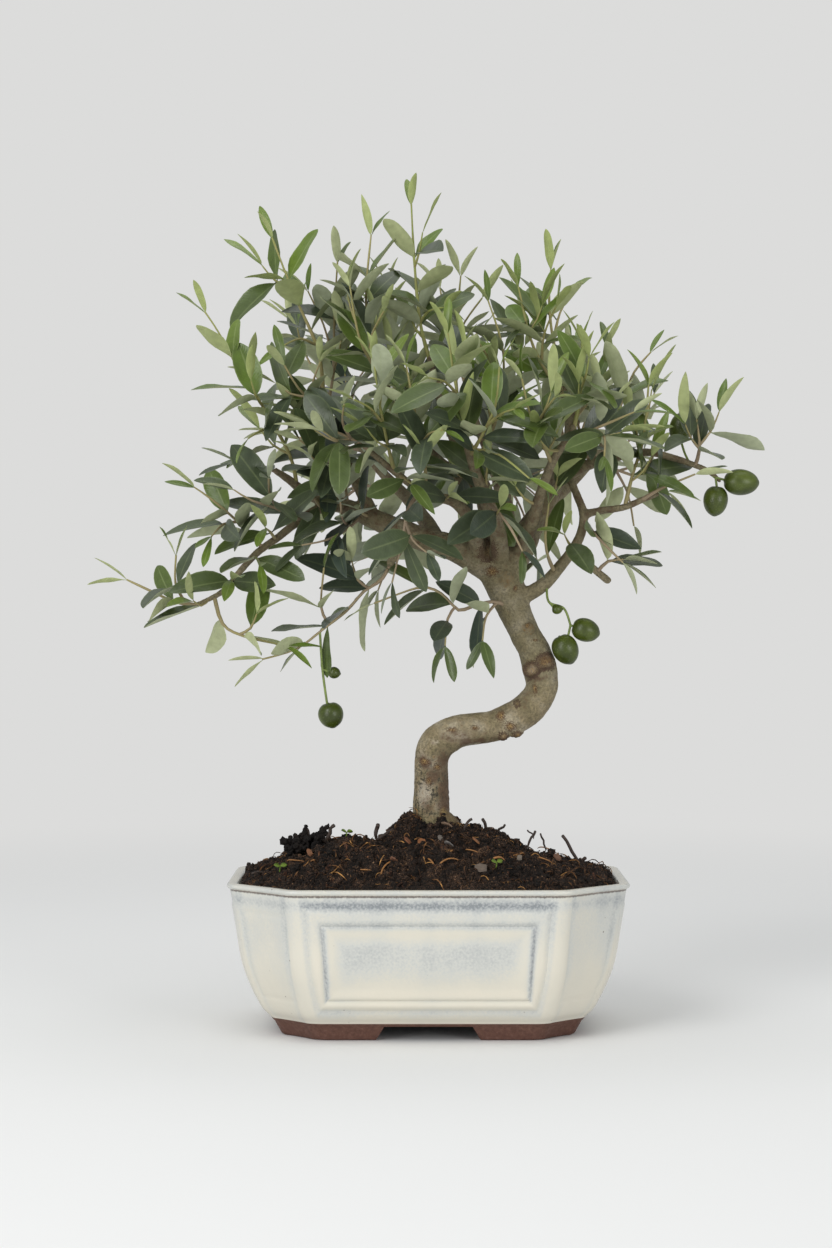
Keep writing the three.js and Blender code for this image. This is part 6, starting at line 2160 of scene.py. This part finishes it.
# %% [markdown]
# On the left a clump of the darkest peat has stayed in one piece: granules that stick to each other.
# It is made of the same crumbs, set round three middles by seeded random numbers. A few strings of
# crumbs stick out of it.

# %% The dark clump

CLUMP = [(-79, -8, 7.8, 7.2), (-69, -10, 7.8, 6.4), (-74, -1, 8.0, 7.0)]  # x, y, reach and height
CRUMBS_PER_LUMP, CRUMBS_PER_STRING = 85, 16
# Strings of crumbs, from and to as x, y and height above the peat, and the size of the crumbs.
STRINGS = [
    ((-80, -8, 8), (-87, -9, 12), 4.4), ((-75, -8, 9), (-73, -8, 17), 2.5),
    ((-70, -9, 8), (-60, -10, 13), 3.8), ((-67, -9, 8), (-61, -9, 9), 3.8),
]
clump_draws = np.random.default_rng(17)
clump_points, clump_faces = [], []


def lay_crumb(middle, size):
    """Adds one crumb, of a random kind and turn, to the clump."""
    source = crumbs.objects[int(clump_draws.integers(4))].data
    spin = clump_draws.uniform(0, 6.28)
    c, s = math.cos(spin), math.sin(spin)
    turned_about = []
    for v in source.vertices:
        a, b, h = np.array(v.co) * size
        turned_about.append(middle + (a * c - h * s, b, a * s + h * c))
    join_on(clump_points, clump_faces, turned_about, [f.vertices for f in source.polygons])


for x, y, reach, high in CLUMP:
    for _ in range(CRUMBS_PER_LUMP):
        away = unit(clump_draws.normal(size=3)) * (reach, reach, high) * clump_draws.uniform(0.5, 1.0)
        lay_crumb(np.array([x, y, soil_height(x, y) + high * 0.75]) + away, clump_draws.uniform(2.0, 4.6))
for (x0, y0, h0), (x1, y1, h1), size in STRINGS:
    for t in np.linspace(0, 1, CRUMBS_PER_STRING):
        x, y = x0 + (x1 - x0) * t, y0 + (y1 - y0) * t
        middle = np.array([x, y, soil_height(x, y) + h0 + (h1 - h0) * t])
        lay_crumb(middle + clump_draws.normal(0, 0.35, 3), size * clump_draws.uniform(0.8, 1.2))
dark_peat = damp_peat("darkest_peat", [(0.3, "#0f0c0b"), (0.6, "#1e1815"), (0.9, "#352b25")])
clump = mesh_object("clump_of_dark_peat", in_frame(clump_points), clump_faces, [dark_peat], smooth=False)
finished(clump, "soil")

# %% [markdown]
# Some things on the peat stand out one by one: orange-brown root threads that arch out of it, a few
# dark slivers of stem, pale bits and three green seedlings. Each is placed where it lies.

# %% A dull skin for small things


def plain_skin(name, code, roughness):
    """A dull natural skin of one colour that varies a little."""
    made, tree = new_material(name)
    at = add(tree, "ShaderNodeTexCoord").outputs["Object"]
    spots = add(tree, "ShaderNodeTexNoise", {"Vector": at, "Scale": 1 / 0.002, "Detail": 3.0})
    shade = add(tree, "ShaderNodeMapRange", {"Value": spots, 1: 0.3, 2: 0.7, 3: 0.75, 4: 1.2})
    colour = add(tree, "ShaderNodeVectorMath", {0: linear(code)[:3], 1: shade}, operation="MULTIPLY")
    bump = add(tree, "ShaderNodeBump", {"Strength": 0.3, "Distance": 0.0004, "Height": spots})
    return with_skin(made, {"Base Color": colour, "Roughness": roughness, "Normal": bump})


dead_stem = plain_skin("dead_stem", "#3b2f28", 0.7)
print("skin of dead stems:", len(dead_stem.node_tree.nodes), "nodes")

# %% Root threads

# Each thread by the spots where it leaves and enters the peat, its height and its radius.
THREADS = [
    ((-29, -75), (-19, -52), 3, 0.5), ((-2, -50), (3, -64), 2.5, 0.5), ((3, -64), (17, -55), 2.5, 0.5),
    ((-12, -35), (-2, -27), 3, 0.45), ((22, -40), (29, -48), 2, 0.4), ((30, -52), (45, -53), 1.6, 0.7),
    ((49, -40), (57, -36), 2.5, 0.45), ((12, -46), (13, -52), 3, 0.4), ((-64, -40), (-74, -45), 2.5, 0.4),
    ((-40, -58), (-32, -66), 1.6, 0.4), ((-20, 40), (-34, 52), 3, 0.45), ((40, 30), (52, 44), 3, 0.45),
    ((66, 4), (78, -8), 2.5, 0.4), ((-86, -20), (-74, -32), 2.5, 0.4), ((-60, 30), (-50, 42), 3, 0.45),
    ((60, -40), (72, -44), 1.6, 0.4), ((8, 48), (-4, 58), 3, 0.4),
]
thread_points, thread_faces = [], []
for (x0, y0), (x1, y1), rise, radius in THREADS:
    line = []
    for t in np.linspace(0, 1, 14):
        x = x0 + (x1 - x0) * t + 1.6 * math.sin(5 * t + x0)
        y = y0 + (y1 - y0) * t + 1.2 * math.sin(4 * t + y0)
        line.append((x, y, soil_height(x, y) - 0.8 + rise * math.sin(math.pi * t) ** 0.8))
    join_on(thread_points, thread_faces, *thread_tube(line, radius, 6))
threads = mesh_object(
    "orange_root_threads", in_frame(thread_points), thread_faces,
    [plain_skin("fresh_root_bark", "#96683a", 0.65)],
)
finished(threads, "soil")

# %% Slivers of stem

# Slivers by foot, top and radius: (x, y, height above the peat) for each end.
SLIVERS = [
    ((-9, -4, 3), (-31, -9, 0), 1.2), ((58, -17, 0), (64, -19, 13), 0.8),
    ((63, -18, 8), (59, -20, 12), 0.5), ((70, -12, 0), (67, -14, 12), 0.6),
    ((92, -12, 0), (80, -17, 14), 1.0), ((91, -8, 0), (94, -12, 8), 1.2),
    ((104, -8, 0), (108, -10, 7), 0.6), ((40, 24, 0), (47, 20, 9), 0.8), ((-31, -8, 0), (-30, -9, 9), 1.3),
    ((-58, -6, 0), (-66, -4, 7), 1.6), ((30, -60, 0), (34, -62, 4), 0.5),
    ((-96, -22, 0), (-104, -26, 5), 1.0), ((20, -16, 0), (26, -14, 9), 0.9),
    ((-70, -6, 6), (-73, -7, 17), 0.9), ((-62, -10, 5), (-56, -12, 13), 1.2), ((36, 8, 0), (33, 6, 9), 1.0),
]
sliver_points, sliver_faces = [], []
for (x0, y0, h0), (x1, y1, h1), radius in SLIVERS:
    ends = [np.array((x, y, soil_height(x, y) - 1.5 + h)) for x, y, h in ((x0, y0, h0), (x1, y1, h1))]
    line = []
    for t in np.linspace(0, 1, 7):
        point = ends[0] + (ends[1] - ends[0]) * t + np.array([0, 0.8, 0.9]) * math.sin(math.pi * t)
        line.append(point + np.array(noise.noise_vector(Vector(point / 3.1))) * 1.3)
    join_on(sliver_points, sliver_faces, *thread_tube(line, radius, 6, (0.5, 0.95)))
slivers = mesh_object("dark_slivers_of_stem", in_frame(sliver_points), sliver_faces, [dead_stem])
finished(slivers, "soil")

# %% Laid bits

# Bits that lie apart: (x, y, length, width, turn in degrees, colour).
LAID_BITS = [
    (30, -64, 7.5, 5.5, 10, "#62564c"), (12, -38, 7, 3, 130, "#6f6a66"), (7, -34, 3.4, 2.6, 40, "#6b635c"),
    (-12, -35, 6, 3.4, 70, "#7d4f33"), (-4, -40, 5, 4, 20, "#82522f"), (28, -36, 4.6, 3.2, 80, "#8a5b36"),
    (53, -50, 3.0, 2.6, 0, "#6d6358"), (-20, -58, 5, 3, 150, "#6d4a36"), (76, -30, 6.5, 4.5, 60, "#6e4d39"),
    (-48, -30, 5, 3.5, 110, "#6a4834"), (11, -19, 9, 4.5, 125, "#7d6653"), (-70, -30, 4, 3, 30, "#7a5238"),
]
for number, (x, y, long, wide, turn_by, code) in enumerate(LAID_BITS):
    c, s = math.cos(math.radians(turn_by)), math.sin(math.radians(turn_by))
    points = []
    for v in chips.objects[number % 2].data.vertices:
        a, b = v.co.x * long, v.co.y * wide * 2.2
        lean = 0.7 * b if y < 0 else -0.7 * b  # up the slope of the heap
        points.append((x + a * c - b * s, y + a * s + b * c, soil_height(x, y) + 2.4 + v.co.z * 8 + lean))
    faces = [tuple(f.vertices) for f in chips.objects[number % 2].data.polygons]
    bit = mesh_object(
        f"laid_bit_{number}", in_frame(points), faces, [plain_skin(f"dry_bit_{number}", code, 0.8)],
        smooth=False,
    )
    finished(bit, "soil")

# %% [markdown]
# Three seedlings have come up in the peat. Each is a hair of a stem with two blunt seed leaves.

# %% Seedlings

SEEDLINGS = [(-87, -44, 20), (-49, -10, 150), (39, -60, 35)]  # x, y and the way that the pair points
seedling_green = plain_skin("seedling_green", "#5f7620", 0.6)
for number, (x, y, turn_by) in enumerate(SEEDLINGS):
    foot = np.array((x, y, soil_height(x, y)))
    top = foot + (0.6, -0.8, 4.5)
    points, faces = thread_tube([foot + (top - foot) * t for t in np.linspace(0, 1, 5)], 0.45, 6)
    way = np.array((math.cos(math.radians(turn_by)), math.sin(math.radians(turn_by)), 0.25))
    for sign in (1, -1):
        along = unit(way * (sign, sign, 1))
        level = unit(np.cross(UP, along))
        across = level * 0.7 + np.cross(along, level) * 0.7 * sign
        facing = np.cross(along, across)
        leaf = [
            top - UP * 0.4 + along * v.co.x * 4.2 + across * v.co.y * 3.4 + facing * v.co.z * 3.4
            for v in blades.objects[0].data.vertices
        ]
        join_on(points, faces, leaf, [f.vertices for f in blades.objects[0].data.polygons])
    finished(mesh_object(f"seedling_{number}", in_frame(points), faces, [seedling_green]), "soil")

# %% [markdown]
# ## Olives
#
# A green olive is smooth and a little glossy, slightly longer than wide, with tiny pale dots and a
# small nub at its far end. Each hangs on a thin green stalk.

# %% Where the olives hang

BUNCHES = {
    "right_end": {
        "stalks": [[(167, -12, 331), (171, -13, 328), (178, -14, 326)], [(171, -13, 328), (172, -13, 320)]],
        "olives": [((186, -14, 325), (1, 0, -0.05), 21, 15.6), ((171, -13, 314), (0.1, 0, 1), 18, 14.6)],
    },
    "right_arm": {
        "stalks": [[(155, -11, 338), (153, -8, 343), (151, -4, 351)]],
        "olives": [((151, -4, 358), (0.1, 0, 1), 18, 13.4)],
    },
    "lower_right": {
        "stalks": [
            [(71, -6, 265), (72, -9, 254), (81, -9, 250), (85, -9, 240)], [(85, -9, 240), (90, -9, 238)],
            [(85, -9, 240), (83, -9, 231)], [(72, -9, 254), (75, -9, 250.5)],
        ],
        "olives": [
            ((94, -9, 237), (0.94, 0, -0.3), 17, 14), ((82, -9, 225.5), (0.42, 0, -0.9), 18.4, 15.6),
            ((77, -9, 249.5), (1, 0, 0), 6.4, 6),
        ],
    },
    "lower_left": {
        "stalks": [
            [(-64, -24, 236), (-62.5, -24, 214), (-59.5, -24, 192)], [(-62.5, -24, 214), (-57, -24, 212)],
        ],
        "olives": [((-57.5, -24, 187), (0.2, 0, -1), 15.2, 15), ((-55.5, -24, 212), (1, 0, -0.2), 7.2, 7)],
    },
}
print("olives:", sum(len(bunch["olives"]) for bunch in BUNCHES.values()))

# %% Olives and their stalks


def green_olive():
    """Unripe olive skin: waxy green with a soft highlight and fine pale dots."""
    made, tree = new_material("green_olive_skin")
    at = add(tree, "ShaderNodeTexCoord").outputs["Object"]
    broad = add(tree, "ShaderNodeTexNoise", {"Vector": at, "Scale": 1 / 0.012, "Detail": 2.0})
    colour = add(
        tree, "ShaderNodeValToRGB", {"Fac": broad},
        stops=[(0.35, "#333d10"), (0.5, "#3f4a15"), (0.68, "#515d20")],
    )
    cells = add(tree, "ShaderNodeTexVoronoi", {"Vector": at, "Scale": 1 / 0.0011})
    dots = add(tree, "ShaderNodeMapRange", {"Value": cells, 1: 0.1, 2: 0.22, 3: 0.5, 4: 0.0})
    dotted = add(tree, "ShaderNodeMix", {0: dots, 6: colour, 7: "#83955a"}, data_type="RGBA")
    bump = add(tree, "ShaderNodeBump", {"Strength": 0.12, "Distance": 0.0003, "Height": cells})
    depth = {"Subsurface Weight": 0.08, "Subsurface Radius": (0.6, 1.0, 0.3), "Subsurface Scale": 0.002}
    return with_skin(made, {"Base Color": dotted, "Roughness": 0.34, "IOR": 1.45, "Normal": bump, **depth})


def olive_shell(centre, axis, length, width, sides=40, bands=28):
    """An olive with its nub at the far end of axis."""
    axis = unit(np.array(axis, float))
    across = unit(np.cross(axis, (0.2, 1.0, 0.1)))
    over = np.cross(axis, across)
    points = [np.array(centre) - axis * length / 2]
    for i in range(1, bands):
        a = math.pi * i / bands
        t = -math.cos(a)
        round_part = math.sin(a) ** 0.94
        radius = width / 2 * round_part * (1 - 0.07 * t)
        nub = 0.35 * math.exp(-(((1 - t) / 0.03) ** 2))
        dent = 0.5 * math.exp(-(((1 + t) / 0.04) ** 2))
        middle = np.array(centre) + axis * (length / 2 * t + nub + dent)
        points += [middle + (across * c + over * s) * radius for c, s in circle(sides)]
    points.append(np.array(centre) + axis * (length / 2 + 0.4))
    faces = [(0, 1 + (k + 1) % sides, 1 + k) for k in range(sides)]
    faces += wall_faces(bands - 1, sides, 1)
    last = 1 + (bands - 2) * sides
    faces += [(last + k, last + (k + 1) % sides, len(points) - 1) for k in range(sides)]
    return points, faces


olive_skin = green_olive()
stalk_green = plain_skin("olive_stalk", "#6f7f3e", 0.55)
for name, bunch in BUNCHES.items():
    points, faces = [], []
    for line in bunch["stalks"]:
        join_on(points, faces, *tube_mesh(np.array([(*p, 0.72) for p in smooth_line(line, 1.5)]), 10))
    kinds = [1] * len(faces)
    for centre, axis, length, width in bunch["olives"]:
        ends = [np.array(p, float) for line in bunch["stalks"] for p in (line[0], line[-1])]
        axis = np.array(axis, float)
        nearest = min(ends, key=lambda p: np.linalg.norm(p - np.array(centre)))
        if np.dot(nearest - np.array(centre), axis) > 0:
            axis = -axis
        join_on(points, faces, *olive_shell(centre, axis, length, width))
    kinds += [0] * (len(faces) - len(kinds))
    made = mesh_object("green_olives_" + name, in_frame(points), faces, [olive_skin, stalk_green])
    made.data.polygons.foreach_set("material_index", kinds)
    finished(made, "fruit", "olives_" + name)

# %% [markdown]
# ## Mesh over the drain holes
#
# Two squares of plastic mesh keep the peat in. They lie under it, out of sight except through the
# holes from below.

# %% Drain mesh


def mesh_plastic():
    """Soft green-black polyethylene, as sold for bonsai pots: smooth and waxy."""
    made = bpy.data.materials.new("dark_mesh_plastic")
    made.use_nodes = True
    skin = made.node_tree.nodes["Principled BSDF"]
    skin.inputs["Base Color"].default_value = linear("#27342b")
    skin.inputs["Roughness"].default_value = 0.45
    skin.inputs["IOR"].default_value = 1.51
    return made


screen_plastic = mesh_plastic()
for side in ("left", "right"):
    screen = frame["nodes"]["drain_screen_" + side]
    screen.data.materials.clear()
    screen.data.materials.append(screen_plastic)
print("drain mesh: 2 squares")

# %% [markdown]
# ## Floor, light and camera
#
# The tree stands on a pale studio floor that runs into a light grey background. Close to the pot the
# floor is plain matt white and takes the shadow. Far out it turns into an even glow of the same grey
# as the background, so that no horizon shows.

# %% Floor

BACKGROUND = "#dcdcdb"
FLOOR_REACH = 12  # metres


def studio_floor():
    """Matt white paper near the pot that fades to the background's even grey."""
    made, tree = new_material("white_studio_floor")
    at = add(tree, "ShaderNodeTexCoord").outputs["Object"]
    far = add(tree, "ShaderNodeVectorMath", {0: at}, operation="LENGTH")
    fade = add(tree, "ShaderNodeMapRange", {"Value": far, 1: 0.5, 2: 1.5}, interpolation_type="SMOOTHSTEP")
    paper = add(tree, "ShaderNodeBsdfDiffuse", {"Color": "#ececeb"})
    glow = add(tree, "ShaderNodeEmission", {"Color": BACKGROUND, "Strength": 1.0})
    mixed = add(tree, "ShaderNodeMixShader", {0: fade, 1: paper, 2: glow})
    add(tree, "ShaderNodeOutputMaterial", {"Surface": mixed})
    return made


ring = [(FLOOR_REACH * c, FLOOR_REACH * s, -0.0002) for c, s in circle(64)]
floor = mesh_object("studio_floor", ring, [tuple(range(64))], [studio_floor()], smooth=False)
floor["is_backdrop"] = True
world = bpy.data.worlds.new("soft_grey_room")
bpy.context.scene.world = world
world.use_nodes = True
# What is seen behind the tree is the bright backdrop. What lights the tree from all round is dimmer.
room_tree = world.node_tree
room_tree.nodes.clear()
seen = add(room_tree, "ShaderNodeBackground", {"Color": BACKGROUND, "Strength": 1.0})
round_about = add(room_tree, "ShaderNodeBackground", {"Color": "#f2f4f5", "Strength": 0.58})
looked_at = add(room_tree, "ShaderNodeLightPath").outputs["Is Camera Ray"]
either = add(room_tree, "ShaderNodeMixShader", {0: looked_at, 1: round_about, 2: seen})
add(room_tree, "ShaderNodeOutputWorld", {"Surface": either})
bpy.context.scene.view_settings.view_transform = "Standard"
print("floor and background:", BACKGROUND)

# %% Lights

AIM = Vector((0.0, 0.0, 0.25))  # half of the tree's height


def softbox(name, place, size, watts):
    """A square soft light that points at the middle of the tree."""
    lamp = bpy.data.lights.new(name, "AREA")
    lamp.shape, lamp.size, lamp.energy = "SQUARE", size, watts
    made = bpy.data.objects.new(name, lamp)
    made.location = Vector(place)
    made.rotation_mode = "QUATERNION"
    made.rotation_quaternion = (AIM - Vector(place)).to_track_quat("-Z", "Y")
    bpy.context.scene.collection.objects.link(made)


softbox("key_softbox", (-1.1, -1.6, 1.6), 1.1, 17)
softbox("low_left_softbox", (-1.4, -1.9, 0.45), 1.0, 15)
softbox("low_right_softbox", (1.4, -1.9, 0.45), 1.0, 15)
softbox("top_softbox", (0.1, 0.1, 2.1), 1.4, 9.5)
print("lights: 4 softboxes")

# %% [markdown]
# The camera stands 1.6 m away at half of the tree's height and looks almost level, so the rim of the
# pot is just seen from above its front edge.

# %% Camera

FRAME_WIDTH, FRAME_HEIGHT = 832, 1248
DISTANCE, EYE_HEIGHT = 1600.0, 255.0
MM_PER_POINT = 0.6  # what one point of the frame shows at the pot's middle
POT_COLUMN, EYE_ROW = 428, 600  # where the pot's middle and the level of the eye lie in the frame
SENSOR = 36.0
camera_data = bpy.data.cameras.new("view_camera")
camera = bpy.data.objects.new("view_camera", camera_data)
bpy.context.scene.collection.objects.link(camera)
bpy.context.scene.camera = camera
camera_data.sensor_width = SENSOR
camera_data.sensor_fit = "AUTO"
camera_data.lens = SENSOR * DISTANCE / (MM_PER_POINT * FRAME_HEIGHT)
middle = (FRAME_WIDTH / 2 - POT_COLUMN) * MM_PER_POINT
camera.location = in_frame((middle, -DISTANCE, EYE_HEIGHT))
down = math.atan((FRAME_HEIGHT / 2 - EYE_ROW) * MM_PER_POINT / DISTANCE)
camera.rotation_euler = (math.pi / 2 - down, 0.0, 0.0)
camera_data.clip_start, camera_data.clip_end = 0.05, 50.0
print("camera lens:", round(camera_data.lens, 1), "mm")

# %% Size and finish
for shelf_of_blades in (blades, crumbs, chips, fibres):
    for made in list(shelf_of_blades.objects):
        bpy.data.objects.remove(made)
    bpy.data.collections.remove(shelf_of_blades)
size_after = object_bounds()
gained = (size_after[1] - size_after[0]) - (size_before[1] - size_before[0])
print("bounds against the solids, in mm:", [round(v / MM, 1) for v in gained])
